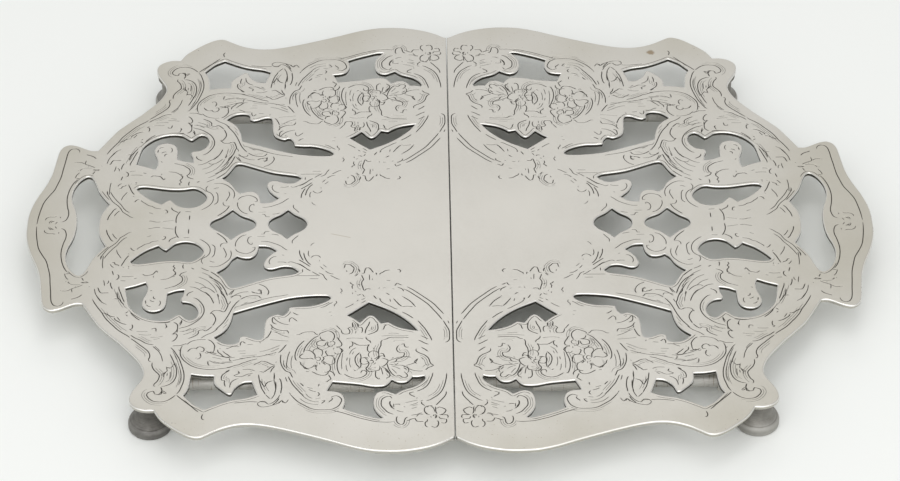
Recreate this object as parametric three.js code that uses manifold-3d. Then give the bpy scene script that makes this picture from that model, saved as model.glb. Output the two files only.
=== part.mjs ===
// Expanding trivet: two pierced half plates on four turned feet, which draw apart on two slide rods.
// Millimetres, +Z up, modelled closed. The origin is on the table, under the middle of the seam.
import * as THREE from 'three';
import { mergeVertices } from 'three/addons/utils/BufferGeometryUtils.js';
import Module from 'manifold-3d';

// Plates
const closedLength = 330;
const closedDepth = 254;
const plateThickness = 2;
const seamGap = 0.4;
const cutOverrun = 1;

// Feet
const footHeight = 14;
const footBaseDiameter = 16.4;
const footWaistDiameter = 10.4;
const footTopDiameter = 12.8;
const footBand = 2.6;
const footEdge = 0.5;
const footTopBand = 0.7;

// Slide rods, and how far each half draws away from the middle of the rods
const rodDiameter = 5.4;
const drawLength = 48;
const runningClearance = 0.3;
const stopGap = 0.3;
const rodOverhang = 0.6;

// Sleeves soldered under the plates, and the posts that carry them
const sleeveWall = 0.8;
const sleeveLength = 21;
const sleeveChamfer = 0.25;
const seatGap = 0.25;
const postWidth = 6;
const postLength = 5;
const postInset = 1.5;

// Stop collars at the rod ends, their pins, and the stop pins at the sleeve mouths
const collarLength = 4;
const collarWall = 1.1;
const collarPinDiameter = 1.4;
const stopPinDiameter = 1.6;
const pinClearance = 0.25;
const pinSink = 0.2;

// Places, as shares of the plates' half length, half depth and of the foot height
const railDepthShare = 0.627;
const sleeveMouthShare = 0.179;
const railHeightShare = 0.43;
const footPlaceShares = [0.682, 0.759];

// Facets
const roundSides = 24;
const pinSides = 12;
const outlineSag = 0.12;
const spanSteps = 4;

// Worked-out sizes
const halfLength = closedLength / 2;
const halfDepth = closedDepth / 2;
const plateBottom = footHeight;
const railY = halfDepth * railDepthShare;
const railZ = footHeight * railHeightShare;
const sleeveMouth = halfLength * sleeveMouthShare;
const rodRadius = rodDiameter / 2;
const boreRadius = rodRadius + runningClearance;
const sleeveRadius = boreRadius + sleeveWall;
const collarRadius = boreRadius + collarWall;
const collarFace = sleeveMouth + sleeveLength + drawLength + stopGap;
const rodHalfLength = collarFace + collarLength + rodOverhang;
const stopPinX = sleeveMouth - stopGap - stopPinDiameter / 2;
const collarPinX = collarFace + collarLength / 2;
const footX = halfLength * footPlaceShares[0];
const footY = halfDepth * footPlaceShares[1];

// The plates' outlines are drawn by hand for one quarter of the trivet, on a grid of equal steps:
// this many from the seam to the tip of the handle, and from the long axis to the widest point.
const stepsAlong = 165;
const stepsAcross = 127;

// A table holds the smooth stretches between corners, and each stretch starts at its corner.
const rimShares = [
  [[0, 119.6], [5, 122.7], [10, 124.9], [16, 126.4], [22, 127], [30, 126.5], [38, 124.2], [46, 121],
    [54, 118.1], [62, 115.3], [70, 113.1], [76, 112.5], [81, 113.2], [86, 115.2], [90, 117.8],
    [93, 119.3], [96, 118.9], [100, 116.5], [105, 112.2], [108, 108.9]],
  [[110.2, 104.9], [113, 105], [116, 104.1], [118.4, 102.3], [119.5, 99.8], [119.4, 97], [118.4, 94],
    [116.8, 91], [115.4, 88], [115, 85], [115.6, 82.2], [117.4, 78.2], [120.4, 74], [124.6, 68.6],
    [129.6, 63], [133.4, 58.4], [136.8, 52.4], [139, 48.3]],
  [[140.4, 46], [143, 46.1], [145.6, 47.4], [148.4, 48.9], [151.6, 49.8], [154, 48.8], [155.5, 46.4],
    [156.2, 43], [156.9, 37], [157.7, 31], [159.2, 25.2], [161.2, 20], [162.9, 15], [164.2, 10],
    [164.9, 5], [165, 0]],
];
const fingerHoleShares = [
  [[145.6, 0], [145.9, 5], [146.8, 9.6], [148, 13.4], [148.6, 17.6], [148, 22.2], [146.2, 26.6],
    [143.6, 29.5], [141.6, 29], [140, 25.6], [138.8, 21.6], [136.6, 17.2], [134.6, 14.2]],
  [[133.6, 12.6], [135.4, 9], [136.7, 5], [137, 0]],
];
const innerDiamondShares = [
  [[56, 0], [56.5, 2], [58.2, 4], [61, 6]],
  [[63.5, 8.7], [66, 6], [69, 3.9], [70.6, 1.8], [70.9, 0]],
];
const outerDiamondShares = [
  [[75.9, 0], [76.5, 2], [78.6, 3.7], [81.8, 5.4], [83.6, 7.2]],
  [[85.2, 8.9], [87, 7], [89.2, 4.8], [92, 2.9], [93.4, 1.4], [93.7, 0]],
];
const shoulderHoleShares = [
  [[72.6, 96.8], [76, 98.4], [81, 99.5], [86, 101.4], [89, 103.2]],
  [[91.8, 104.6], [95.4, 102.2], [98, 99.2]],
  [[99.7, 97], [98.2, 94], [97.6, 90]],
  [[97.2, 85.5], [93, 86.3]],
  [[88.8, 86.5], [88.8, 89.6], [87.8, 92], [85, 95], [83.6, 96.2], [82.7, 96.6], [81.9, 96.1],
    [81.2, 94], [79.6, 91.7], [77.4, 90.1]],
  [[74.8, 89.8], [73.9, 92.6]],
];
const seamHoleShares = [
  [[26.2, 109.6], [28.2, 107.2], [29.7, 103.6], [29.7, 99.2], [28.4, 96.2], [25.8, 95.1], [23.6, 95.9]],
  [[21.6, 97], [19.6, 95.2], [16.8, 93.9], [14, 92.5], [11.6, 90.2], [10.6, 88.4]],
  [[11, 87], [13.2, 87.6], [15.3, 87.5], [16.3, 89.2], [18, 90.5], [20.6, 90.5]],
  [[23, 89.1], [24.4, 91.4], [26.6, 92.6], [30.4, 92.5], [35.2, 91.3], [40, 90.7]],
  [[44.8, 90], [46, 92.6]],
  [[46.9, 95], [44, 95.3], [41.6, 96.4], [40.3, 99.4], [40.3, 102.4]],
  [[40.9, 104.4], [37, 106.4], [32, 108.4], [28.6, 109.6]],
];
const longHoleShares = [
  [[82.8, 51.7], [79, 50], [74, 48], [68, 45.6], [62, 43.5], [56, 42.4], [50, 42], [47, 42.3],
    [46.2, 43.6], [47.6, 45.3], [51, 47.2], [55, 48.3], [59, 48.4]],
  [[61.8, 48.8], [62.4, 51.4], [64, 53.3]],
  [[65.8, 52.6], [68.2, 53.4], [70, 55], [70.8, 58], [71, 63], [71.7, 66.3], [74, 66.6],
    [76.4, 65.4], [78.6, 64.7]],
  [[80.2, 65.6], [80.5, 68.2], [82.4, 69.2], [85.6, 68.9], [88, 67.2]],
  [[89.6, 65.4], [86.8, 63], [84.8, 60.2], [83.6, 56.6]],
];
const leafHoleShares = [
  [[13.2, 62.2], [15.2, 59], [18, 55.6], [21, 52.7], [24.6, 50], [28, 47.9]],
  [[31.6, 46], [35.4, 49.4]],
  [[39.8, 53.4], [37.4, 55.1]],
  [[35, 57.5], [33.4, 55.6], [31.6, 53.5], [29.8, 53.9], [28.3, 55.8]],
  [[27, 58], [24.4, 57.4]],
  [[22.8, 58.6], [20, 60.4], [16.6, 61.5]],
];
const scrollHoleShares = [
  [[124.5, 37.2], [120.4, 35.7]],
  [[116.9, 34], [116.1, 36.6], [116.4, 40.4], [117.4, 43.4], [117.8, 46.4], [116.7, 49],
    [114.6, 50.4], [112, 50.5], [109.7, 49.2], [108.6, 46.6], [108.4, 43.4]],
  [[108.3, 40.4], [105.2, 38.9]],
  [[102, 38.3], [102.3, 41.2], [103.1, 43.6], [102.4, 45.3], [100, 45.6], [98, 47], [96.6, 49.4],
    [96.2, 52], [97.2, 54.6], [99.3, 55.7], [101.3, 54.3], [103.2, 52.4], [105.1, 53.6],
    [107.2, 55.3], [111, 55.8], [115, 54.9], [118.4, 52.8], [121, 50], [122.6, 47.2],
    [123.4, 43.6], [124, 40.4]],
];
const crestHoleShares = [
  [[58.5, 28.1], [60.6, 29.7], [65, 30.6], [70, 31.8], [75, 33.9], [79.6, 35.9], [83, 37.3],
    [84.8, 36.7], [86.4, 33.6], [88.2, 30.4]],
  [[90.2, 28.4], [87.6, 26.2], [85.6, 23.6], [84.3, 20.8]],
  [[82.5, 18.9], [80.2, 19.9], [77.6, 20], [75.6, 18.5], [74.7, 16]],
  [[74.3, 12.9], [70.6, 13.3]],
  [[67.3, 15.8], [69.6, 18.1], [71.2, 20.4], [72.3, 24], [71.2, 26.1], [69, 26.6], [66.6, 25.8],
    [64, 25], [61, 25.6]],
];
const handleScrollHoleShares = [
  [[110, 15.2], [108.6, 13.4], [106.4, 11.2], [103, 10.2], [99.4, 11], [96.8, 13.4], [95.7, 16.4],
    [97.2, 19.6], [100.6, 22.1], [105, 21.5], [110, 21.5], [115, 22.3], [119.6, 23.2], [122.4, 23]],
  [[123.6, 21.8], [120.6, 18], [117, 14.7]],
  [[113.2, 12.4], [111.4, 14.4]],
];
const axisHoles = [fingerHoleShares, innerDiamondShares, outerDiamondShares];
const quarterHoles = [
  shoulderHoleShares, seamHoleShares, longHoleShares, leafHoleShares, scrollHoleShares,
  crestHoleShares, handleScrollHoleShares,
];

// The foot narrows from the band round its base to its waist, as shares of the way up and out,
// and widens again to the band round its top.
const footWaistShare = 0.57;
const footBellShares = [[0.17, 0.9], [0.3, 0.72], [0.41, 0.47], [0.56, 0.23], [0.75, 0.07], [1, 0]];
const footNeckShares = [[0.45, 0.04], [0.72, 0.22], [0.9, 0.6]];

const metal = (color, roughness) => new THREE.MeshStandardMaterial({ color, roughness, metalness: 1 });
const silverPlate = metal(0xcfccc4, 0.3);
const turnedFoot = metal(0xb4b1aa, 0.32);
const rodMetal = metal(0xa9a59c, 0.28);
const tubeMetal = metal(0xb9b6ae, 0.33);
const pinMetal = metal(0x8f8a80, 0.4);

const wasm = await Module();
wasm.setup();

// Keeps the points of a smooth stretch that stand more than the sag off its chords.
function thinned(points, sag) {
  const first = points[0];
  const last = points[points.length - 1];
  const chord = last.clone().sub(first);
  const span = chord.length();
  let farthest = 0;
  let worst = sag;
  for (let i = 1; i < points.length - 1; i += 1) {
    const offset = Math.abs(points[i].clone().sub(first).cross(chord)) / span;
    if (offset > worst) {
      worst = offset;
      farthest = i;
    }
  }
  if (farthest === 0) return [first, last];
  const start = thinned(points.slice(0, farthest + 1), sag);
  return [...start, ...thinned(points.slice(farthest), sag).slice(1)];
}

function onPlate([along, across]) {
  return new THREE.Vector2(along * halfLength / stepsAlong, across * halfDepth / stepsAcross);
}

// The stretches as one line of points; a closed line runs back to its first corner.
function tracedLine(stretches, closed) {
  const line = [];
  stretches.forEach((stretch, i) => {
    const next = closed ? stretches[(i + 1) % stretches.length] : stretches[i + 1];
    const knots = (next ? [...stretch, next[0]] : stretch).map(onPlate);
    const smooth = new THREE.SplineCurve(knots).getPoints((knots.length - 1) * spanSteps);
    line.push(...thinned(smooth, outlineSag).slice(0, -1));
    if (!next) line.push(knots[knots.length - 1]);
  });
  return line;
}

const flipped = (line) => line.map((p) => new THREE.Vector2(p.x, -p.y)).reverse();

// A line from the long axis back to it, closed by its own mirror image.
function axisLoop(stretches) {
  const line = tracedLine(stretches, false);
  return [...line, ...flipped(line).slice(1, -1)];
}

// A flat piece with the loop as its outline, reaching past both of its faces by the overrun.
function slab(loop, overrun) {
  return new THREE.ExtrudeGeometry(new THREE.Shape(loop), {
    depth: plateThickness + 2 * overrun, bevelEnabled: false,
  }).translate(0, 0, -overrun);
}

// The right half plate; the left one is the same piece turned about.
function plateGeometry() {
  const edge = tracedLine(rimShares, false);
  edge[0].x = seamGap / 2;
  const holes = axisHoles.map(axisLoop);
  for (const table of quarterHoles) {
    const loop = tracedLine(table, true);
    holes.push(loop, flipped(loop));
  }
  let plate = solidOf(slab([...edge, ...flipped(edge).slice(1)], 0));
  for (const hole of holes) plate = plate.subtract(solidOf(slab(hole, cutOverrun)));
  return geometryOf(plate);
}

function footGeometry() {
  const base = footBaseDiameter / 2;
  const waist = footWaistDiameter / 2;
  const top = footTopDiameter / 2;
  const waistHeight = footHeight * footWaistShare;
  const bellHeight = waistHeight - footBand;
  const neckHeight = footHeight - footTopBand - waistHeight;
  const profile = [
    [0, 0],
    [base - footEdge, 0],
    [base, footEdge],
    [base, footBand],
    ...footBellShares.map(([up, out]) => [waist + (base - waist) * out, footBand + bellHeight * up]),
    ...footNeckShares.map(([up, out]) => [waist + (top - waist) * out, waistHeight + neckHeight * up]),
    [top, footHeight - footTopBand],
    [top, footHeight],
    [0, footHeight],
  ];
  const lathe = new THREE.LatheGeometry(profile.map(([r, z]) => new THREE.Vector2(r, z)), roundSides);
  return lathe.rotateX(Math.PI / 2);
}

// A round bar or ring along X, from a profile of radius and place; a ring's profile closes on itself.
function turnedAlongX(profile, sides) {
  const lathe = new THREE.LatheGeometry(profile.map(([r, x]) => new THREE.Vector2(r, x)), sides);
  return lathe.rotateZ(-Math.PI / 2);
}

function ringGeometry(inner, outer, length, chamfer) {
  const end = length / 2;
  return turnedAlongX([
    [inner, -end], [outer - chamfer, -end], [outer, chamfer - end],
    [outer, end - chamfer], [outer - chamfer, end], [inner, end], [inner, -end],
  ], roundSides);
}

function pinGeometry(diameter, length) {
  return new THREE.CylinderGeometry(diameter / 2, diameter / 2, length, pinSides);
}

function solidOf(geometry) {
  const bare = geometry.clone();
  bare.deleteAttribute('normal');
  bare.deleteAttribute('uv');
  const merged = mergeVertices(bare);
  return new wasm.Manifold(new wasm.Mesh({
    numProp: 3,
    vertProperties: merged.attributes.position.array,
    triVerts: new Uint32Array(merged.index.array),
  }));
}

function geometryOf(solid) {
  const mesh = solid.getMesh();
  const geometry = new THREE.BufferGeometry();
  geometry.setAttribute('position', new THREE.BufferAttribute(mesh.vertProperties, 3));
  geometry.setIndex(new THREE.BufferAttribute(mesh.triVerts, 1));
  return geometry;
}

// A round bar or collar with a cross hole along Y for a pin at each of the places along X.
function drilled(geometry, reach, holes) {
  let solid = solidOf(geometry);
  for (const { x, diameter } of holes) {
    const hole = pinGeometry(diameter + 2 * pinClearance, 2 * reach).translate(x, 0, 0);
    solid = solid.subtract(solidOf(hole));
  }
  return geometryOf(solid);
}

function rodGeometry() {
  const bar = turnedAlongX([
    [0, -rodHalfLength], [rodRadius - sleeveChamfer, -rodHalfLength],
    [rodRadius, sleeveChamfer - rodHalfLength], [rodRadius, rodHalfLength - sleeveChamfer],
    [rodRadius - sleeveChamfer, rodHalfLength], [0, rodHalfLength],
  ], roundSides);
  const holes = [-1, 1].flatMap((side) => [
    { x: side * stopPinX, diameter: stopPinDiameter },
    { x: side * collarPinX, diameter: collarPinDiameter },
  ]);
  return drilled(bar, rodDiameter, holes);
}

function collarGeometry() {
  const ring = ringGeometry(boreRadius, collarRadius, collarLength, sleeveChamfer);
  return drilled(ring, collarRadius * 2, [{ x: 0, diameter: collarPinDiameter }]);
}

// A post from the plate down to the sleeve, hollowed to sit on the sleeve's top.
function postGeometry() {
  const seat = sleeveRadius + seatGap;
  const lean = Math.asin(postWidth / 2 / seat);
  const top = plateBottom - railZ;
  const section = new THREE.Shape();
  section.moveTo(postWidth / 2, top);
  section.lineTo(-postWidth / 2, top);
  section.absarc(0, 0, seat, Math.PI / 2 + lean, Math.PI / 2 - lean, true);
  section.closePath();
  const post = new THREE.ExtrudeGeometry(section, {
    depth: postLength, bevelEnabled: false, curveSegments: pinSides,
  });
  return post.translate(0, 0, -postLength / 2).rotateX(Math.PI / 2).rotateZ(Math.PI / 2);
}

const trivet = new THREE.Group();

function place(name, geometry, material, x, y, z) {
  const mesh = new THREE.Mesh(geometry, material);
  mesh.name = name;
  mesh.position.set(x, y, z);
  trivet.add(mesh);
}

const sides = [['left', -1], ['right', 1]];
const rails = [['front', -1], ['back', 1]];

place('left_plate', plateGeometry().rotateZ(Math.PI), silverPlate, 0, 0, plateBottom);
place('right_plate', plateGeometry(), silverPlate, 0, 0, plateBottom);

for (const [rail, railSign] of rails) {
  const y = railSign * railY;
  place(`${rail}_rod`, rodGeometry(), rodMetal, 0, y, railZ);
  for (const [side, sideSign] of sides) {
    const spot = `${rail}_${side}`;
    const sleeveMiddle = sleeveMouth + sleeveLength / 2;
    const sleeve = ringGeometry(boreRadius, sleeveRadius, sleeveLength, sleeveChamfer);
    place(`${spot}_foot`, footGeometry(), turnedFoot, sideSign * footX, railSign * footY, 0);
    place(`${spot}_sleeve`, sleeve, tubeMetal, sideSign * sleeveMiddle, y, railZ);
    for (const [end, endSign] of [['inner', -1], ['outer', 1]]) {
      const reach = sleeveLength / 2 - postInset - postLength / 2;
      const x = sideSign * (sleeveMiddle + endSign * reach);
      place(`${spot}_${end}_post`, postGeometry(), tubeMetal, x, y, railZ);
    }
    place(`${spot}_collar`, collarGeometry(), tubeMetal, sideSign * collarPinX, y, railZ);
    const collarPin = pinGeometry(collarPinDiameter, 2 * (collarRadius - pinSink));
    place(`${spot}_collar_pin`, collarPin, pinMetal, sideSign * collarPinX, y, railZ);
    const stopPin = pinGeometry(stopPinDiameter, 2 * (sleeveRadius - pinSink));
    place(`${spot}_stop_pin`, stopPin, pinMetal, sideSign * stopPinX, y, railZ);
  }
}

export default trivet;
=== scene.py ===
import math

import bpy
import numpy as np
from mathutils import Matrix, Vector, kdtree
from mathutils.geometry import delaunay_2d_cdt


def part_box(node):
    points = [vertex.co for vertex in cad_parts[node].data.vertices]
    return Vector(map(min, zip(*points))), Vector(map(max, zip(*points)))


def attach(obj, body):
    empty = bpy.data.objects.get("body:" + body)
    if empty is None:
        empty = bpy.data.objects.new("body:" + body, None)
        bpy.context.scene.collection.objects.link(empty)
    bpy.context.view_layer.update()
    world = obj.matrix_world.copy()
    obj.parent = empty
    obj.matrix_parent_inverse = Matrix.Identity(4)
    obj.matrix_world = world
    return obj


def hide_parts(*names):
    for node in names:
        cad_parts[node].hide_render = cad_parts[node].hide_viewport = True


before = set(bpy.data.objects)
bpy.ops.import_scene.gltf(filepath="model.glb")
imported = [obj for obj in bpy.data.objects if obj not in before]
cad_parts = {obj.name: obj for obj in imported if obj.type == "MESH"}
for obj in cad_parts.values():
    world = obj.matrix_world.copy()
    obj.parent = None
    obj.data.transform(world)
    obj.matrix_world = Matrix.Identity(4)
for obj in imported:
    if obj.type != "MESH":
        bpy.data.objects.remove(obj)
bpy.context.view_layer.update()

MM = 0.001

# Measured on the plates' own CAD nodes, in millimetres.
PLATE_LOW, PLATE_HIGH = (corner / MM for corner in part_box("right_plate"))
PLATE_TOP = PLATE_HIGH.z
PLATE_UNDERSIDE = PLATE_LOW.z
SEAM = PLATE_LOW.x
HALF_LENGTH = PLATE_HIGH.x
HALF_DEPTH = PLATE_HIGH.y

# ---------------------------------------------------------------- camera

FOCAL_PIXELS = 3300.0
PHOTO_WIDTH = 900
PHOTO_HEIGHT = 481
CAMERA_SPOT = Vector((-19.02, -982.19, 848.78)) * MM
CAMERA_TURN, CAMERA_TILT, CAMERA_ROLL = (math.radians(a) for a in (1.101, 40.592, 0.406))


def camera_axes():
    """The camera's right, up and forward directions."""
    ahead = Vector((
        math.sin(CAMERA_TURN) * math.cos(CAMERA_TILT),
        math.cos(CAMERA_TURN) * math.cos(CAMERA_TILT),
        -math.sin(CAMERA_TILT),
    ))
    level = Vector((math.cos(CAMERA_TURN), -math.sin(CAMERA_TURN), 0.0))
    upright = level.cross(ahead)
    right = math.cos(CAMERA_ROLL) * level + math.sin(CAMERA_ROLL) * upright
    up = -math.sin(CAMERA_ROLL) * level + math.cos(CAMERA_ROLL) * upright
    return right, up, ahead


def place_camera():
    lens = bpy.data.cameras.new("photo_camera")
    lens.sensor_width = 36.0
    lens.lens = lens.sensor_width * FOCAL_PIXELS / PHOTO_WIDTH
    camera = bpy.data.objects.new("photo_camera", lens)
    bpy.context.scene.collection.objects.link(camera)
    right, up, ahead = camera_axes()
    turned = Matrix((right, up, -ahead)).transposed().to_4x4()
    camera.matrix_world = Matrix.Translation(CAMERA_SPOT) @ turned
    bpy.context.scene.camera = camera


place_camera()

# ---------------------------------------------------------------- shader maths


class Signal:
    """A value in a material's node tree, which arithmetic extends with Math nodes."""

    def __init__(self, finish, socket):
        self.finish = finish
        self.socket = socket

    def _math(self, operation, *values):
        return self.finish.node("ShaderNodeMath", {"operation": operation}, *values)["Value"]

    def __add__(self, other):
        return self._math("ADD", self, other)

    __radd__ = __add__

    def __sub__(self, other):
        return self._math("SUBTRACT", self, other)

    def __rsub__(self, other):
        return self._math("SUBTRACT", other, self)

    def __mul__(self, other):
        return self._math("MULTIPLY", self, other)

    __rmul__ = __mul__

    def __truediv__(self, other):
        return self._math("DIVIDE", self, other)

    def __pow__(self, other):
        return self._math("POWER", self, other)

    def __abs__(self):
        return self._math("ABSOLUTE", self)

    def clamped(self):
        return self.finish.node("ShaderNodeClamp", {}, self)["Result"]

    def spread(self, low, high, to_low=0.0, to_high=1.0):
        """The value's way from low to high, as a smooth step between two results."""
        return self.finish.node(
            "ShaderNodeMapRange", {"interpolation_type": "SMOOTHSTEP"},
            self, low, high, to_low, to_high)["Result"]


class Outputs:
    """A node's outputs, each handed out as a Signal by its name."""

    def __init__(self, finish, node):
        self.finish = finish
        self.node = node

    def __getitem__(self, name):
        return Signal(self.finish, self.node.outputs[name])


class Finish:
    """One material and its node tree."""

    def __init__(self, name):
        self.material = bpy.data.materials.new(name)
        self.material.use_nodes = True
        self.tree = self.material.node_tree
        self.tree.nodes.clear()

    def node(self, kind, settings, *values, **named):
        made = self.tree.nodes.new(kind)
        for key, value in settings.items():
            setattr(made, key, value)
        for key, value in list(enumerate(values)) + list(named.items()):
            self._feed(made.inputs[key], value)
        return Outputs(self, made)

    def _feed(self, socket, value):
        if isinstance(value, Signal):
            self.tree.links.new(value.socket, socket)
        else:
            socket.default_value = value

    def mix(self, share, first, second):
        made = self.node("ShaderNodeMix", {"data_type": "RGBA"})
        for place, value in ((0, share), (6, first), (7, second)):
            if isinstance(value, tuple):
                value = (*value, 1.0)
            self._feed(made.node.inputs[place], value)
        return Signal(self, made.node.outputs[2])

    def place(self, scale=(1.0, 1.0, 1.0), turn=0.0):
        """Where a point of the surface is on its own piece, in millimetres times the scale."""
        here = self.node("ShaderNodeTexCoord", {})["Object"]
        size = tuple(s / MM for s in scale)
        return self.node(
            "ShaderNodeMapping", {}, here, Rotation=(0.0, 0.0, turn), Scale=size)["Vector"]

    def noise(self, where, scale, detail, roughness):
        return self.node(
            "ShaderNodeTexNoise", {}, where, Scale=scale, Detail=detail,
            Roughness=roughness)["Fac"]

    def attribute(self, name):
        return self.node("ShaderNodeAttribute", {"attribute_name": name})["Fac"]

    def bump(self, height, distance, strength):
        return self.node(
            "ShaderNodeBump", {}, Strength=strength, Distance=distance, Height=height)["Normal"]

    def surface(self, **sockets):
        shader = self.node("ShaderNodeBsdfPrincipled", {}, **{
            key.replace("_", " "): value for key, value in sockets.items()})
        self.node("ShaderNodeOutputMaterial", {}, shader["BSDF"])
        return self.material


# ---------------------------------------------------------------- metals

SILVER_WARM = (0.55, 0.524, 0.45)
SILVER_COOL = (0.62, 0.602, 0.56)
SILVER_DULL = (0.50, 0.48, 0.43)
# Pale colour of the rounded plate edges: wear, with a painted highlight.
SILVER_WORN_HIGHLIGHT = (0.93, 0.92, 0.89)
FOOT_WORN = (0.72, 0.71, 0.68)
# Dark of grime on the feet, and of the painted shade on the front left foot.
FOOT_GRIME_AND_SHADE = (0.06, 0.056, 0.052)
DRAWN_WORN = (0.74, 0.73, 0.70)
# Dark of the patina in the cuts, also used for the darker walls and for painted shade by the seam.
TARNISH_AND_SHADE = (0.05, 0.045, 0.036)
TARNISH_SPOT = (0.26, 0.18, 0.09)
# A brown stain near the back rim, and the turn and middle of a short scratch, in millimetres.
STAIN = (84.7, 109.0, PLATE_TOP)
SCRATCH_TURN = math.radians(17)
SCRATCH_MIDDLE = (-38.7, -19.4)
# How deep the fine marks of polishing, turning and drawing are, in metres.
POLISH_DEPTH = 0.00002
TURNING_DEPTH = 0.00003


def silver_plate():
    """Polished silver plate, warmer to the rim, with patina in its cuts, darker sawn walls, painted
    shade on the lip by the seam, and a painted highlight with wear on its rounded edges.
    """
    f = Finish("silver_plate")
    here = f.place()
    across = f.node("ShaderNodeSeparateXYZ", {}, here)
    outward, inward = abs(across["X"]), abs(across["Y"])
    clouds = f.noise(here, 0.022, 3.0, 0.55)
    fine = f.noise(here, 0.9, 4.0, 0.6)
    grain = f.noise(f.place((0.25, 6.0, 1.0), 0.35), 1.0, 2.0, 0.6)
    crossing = f.noise(f.place((5.0, 0.3, 1.0), -0.5), 1.0, 2.0, 0.6)
    # Warm tone towards the rim, in soft clouds.
    edgeward = (outward / HALF_LENGTH) ** 2.0 * 0.7 + (inward / HALF_DEPTH) ** 4.0 * 0.45
    warm = (edgeward + (clouds - 0.5) * 1.1).spread(0.1, 1.05)
    tone = f.mix(warm, SILVER_COOL, SILVER_WARM)
    tone = f.mix((fine - 0.5) * 0.25 + (clouds - 0.5) * 0.3, tone, SILVER_DULL)
    # Stain, specks along the long rims, and scratch.
    spot = f.node("ShaderNodeVectorMath", {"operation": "DISTANCE"}, here, STAIN)["Value"]
    tone = f.mix((spot + (fine - 0.5) * 1.5).spread(0.9, 2.0, 0.75, 0.0), tone, TARNISH_SPOT)
    specks = f.noise(here, 1.3, 1.0, 0.5).spread(0.7, 0.77) * (inward / HALF_DEPTH) ** 6.0
    tone = f.mix(specks * 0.6, tone, TARNISH_SPOT)
    beside = f.node("ShaderNodeSeparateXYZ", {}, f.place(turn=SCRATCH_TURN))
    scratch = (abs(beside["Y"] - SCRATCH_MIDDLE[1]).spread(0.1, 0.32, 1.0, 0.0)
               * abs(beside["X"] - SCRATCH_MIDDLE[0]).spread(3.4, 4.5, 1.0, 0.0))
    tone = f.mix(scratch * 0.35, tone, TARNISH_SPOT)
    # Pale rounded edges, worn and also painted as highlight; dark cuts and walls, and painted shade
    # by the seam.
    patina_and_shade = f.attribute("patina_and_shade")
    edge_mark = f.attribute("edge")
    tone = f.mix(edge_mark * 0.8, tone, SILVER_WORN_HIGHLIGHT)
    tone = f.mix(patina_and_shade.spread(0.08, 0.62) * 0.95, tone, TARNISH_AND_SHADE)
    roughness = 0.34 + (fine - 0.5) * 0.1 + (clouds - 0.5) * 0.12 + patina_and_shade * 0.2 - edge_mark * 0.06
    marks = grain * 0.5 + crossing * 0.5 + fine * 0.4
    return f.surface(
        Base_Color=tone, Metallic=1.0, Roughness=roughness.clamped(),
        Normal=f.bump(marks, POLISH_DEPTH, 0.35))


def turned_metal(name, colour, dull, roughness):
    """Dulled metal with the rings of turning, for the feet, darkened by grime and by painted shade.
    """
    f = Finish(name)
    here = f.place()
    clouds = f.noise(here, 0.12, 3.0, 0.6)
    fine = f.noise(here, 1.6, 3.0, 0.6)
    rings = f.noise(f.place((0.3, 0.3, 9.0)), 1.0, 2.0, 0.5)
    edge_mark = f.attribute("edge")
    grime_and_shade = f.attribute("patina_and_shade")
    blotches = (clouds * 0.7 + rings * 0.3).spread(0.3, 0.75)
    tone = f.mix(blotches, colour, dull)
    tone = f.mix(edge_mark * 0.4, tone, FOOT_WORN)
    tone = f.mix(grime_and_shade * (blotches * 0.5 + 0.5), tone, FOOT_GRIME_AND_SHADE)
    rough = roughness + (fine - 0.5) * 0.12 + (clouds - 0.5) * 0.1
    return f.surface(
        Base_Color=tone, Metallic=1.0, Roughness=rough.clamped(),
        Normal=f.bump(rings * 0.6 + fine * 0.4, TURNING_DEPTH, 0.4))


def drawn_metal(name, colour, dull, roughness):
    """Drawn tube, rod or wire, streaked along its length and rubbed in rings."""
    f = Finish(name)
    here = f.place()
    clouds = f.noise(here, 0.1, 3.0, 0.6)
    fine = f.noise(here, 1.4, 3.0, 0.6)
    streaks = f.noise(f.place((0.12, 5.0, 5.0)), 1.0, 2.0, 0.6)
    rubs = f.noise(f.place((1.6, 0.12, 0.12)), 1.0, 2.0, 0.5)
    edge_mark = f.attribute("edge")
    tone = f.mix((clouds * 0.6 + streaks * 0.4).spread(0.3, 0.72), colour, dull)
    tone = f.mix(rubs.spread(0.6, 0.7) * 0.55, tone, TARNISH_SPOT)
    tone = f.mix(edge_mark * 0.4, tone, DRAWN_WORN)
    tone = f.mix(f.attribute("patina_and_shade") * 0.7, tone, TARNISH_AND_SHADE)
    rough = roughness + (fine - 0.5) * 0.1 + (streaks - 0.5) * 0.12
    return f.surface(
        Base_Color=tone, Metallic=1.0, Roughness=rough.clamped(),
        Normal=f.bump(streaks * 0.7 + fine * 0.3, POLISH_DEPTH, 0.35))


# The last number of each is its roughness.
FINISHES = {
    "silver_plate": silver_plate(),
    "turned_foot": turned_metal("turned_foot", (0.37, 0.36, 0.332), (0.215, 0.205, 0.187), 0.6),
    "rod_metal": drawn_metal("rod_metal", (0.70, 0.69, 0.66), (0.56, 0.545, 0.515), 0.6),
    "tube_metal": drawn_metal("tube_metal", (0.80, 0.785, 0.75), (0.62, 0.60, 0.56), 0.6),
    "pin_metal": drawn_metal("pin_metal", (0.42, 0.40, 0.36), (0.24, 0.22, 0.19), 0.42),
}


# ---------------------------------------------------------------- meshes


def finished(name, points, faces, slot, body, replaced, marks):
    """A mesh piece from points in millimetres, in its finish, riding on its body."""
    mesh = bpy.data.meshes.new(name)
    mesh.from_pydata([tuple(c * MM for c in p) for p in points], [], faces)
    mesh.update()
    for mark in ("patina_and_shade", "edge"):
        layer = mesh.attributes.new(mark, "FLOAT", "POINT")
        if mark in marks:
            layer.data.foreach_set("value", np.asarray(marks[mark], np.float32))
    piece = bpy.data.objects.new(name, mesh)
    bpy.context.scene.collection.objects.link(piece)
    mesh.materials.append(FINISHES[slot])
    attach(piece, body)
    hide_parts(replaced)
    return piece


# A face is level when its upright part is at least this.
LEVEL = 0.99999


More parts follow.
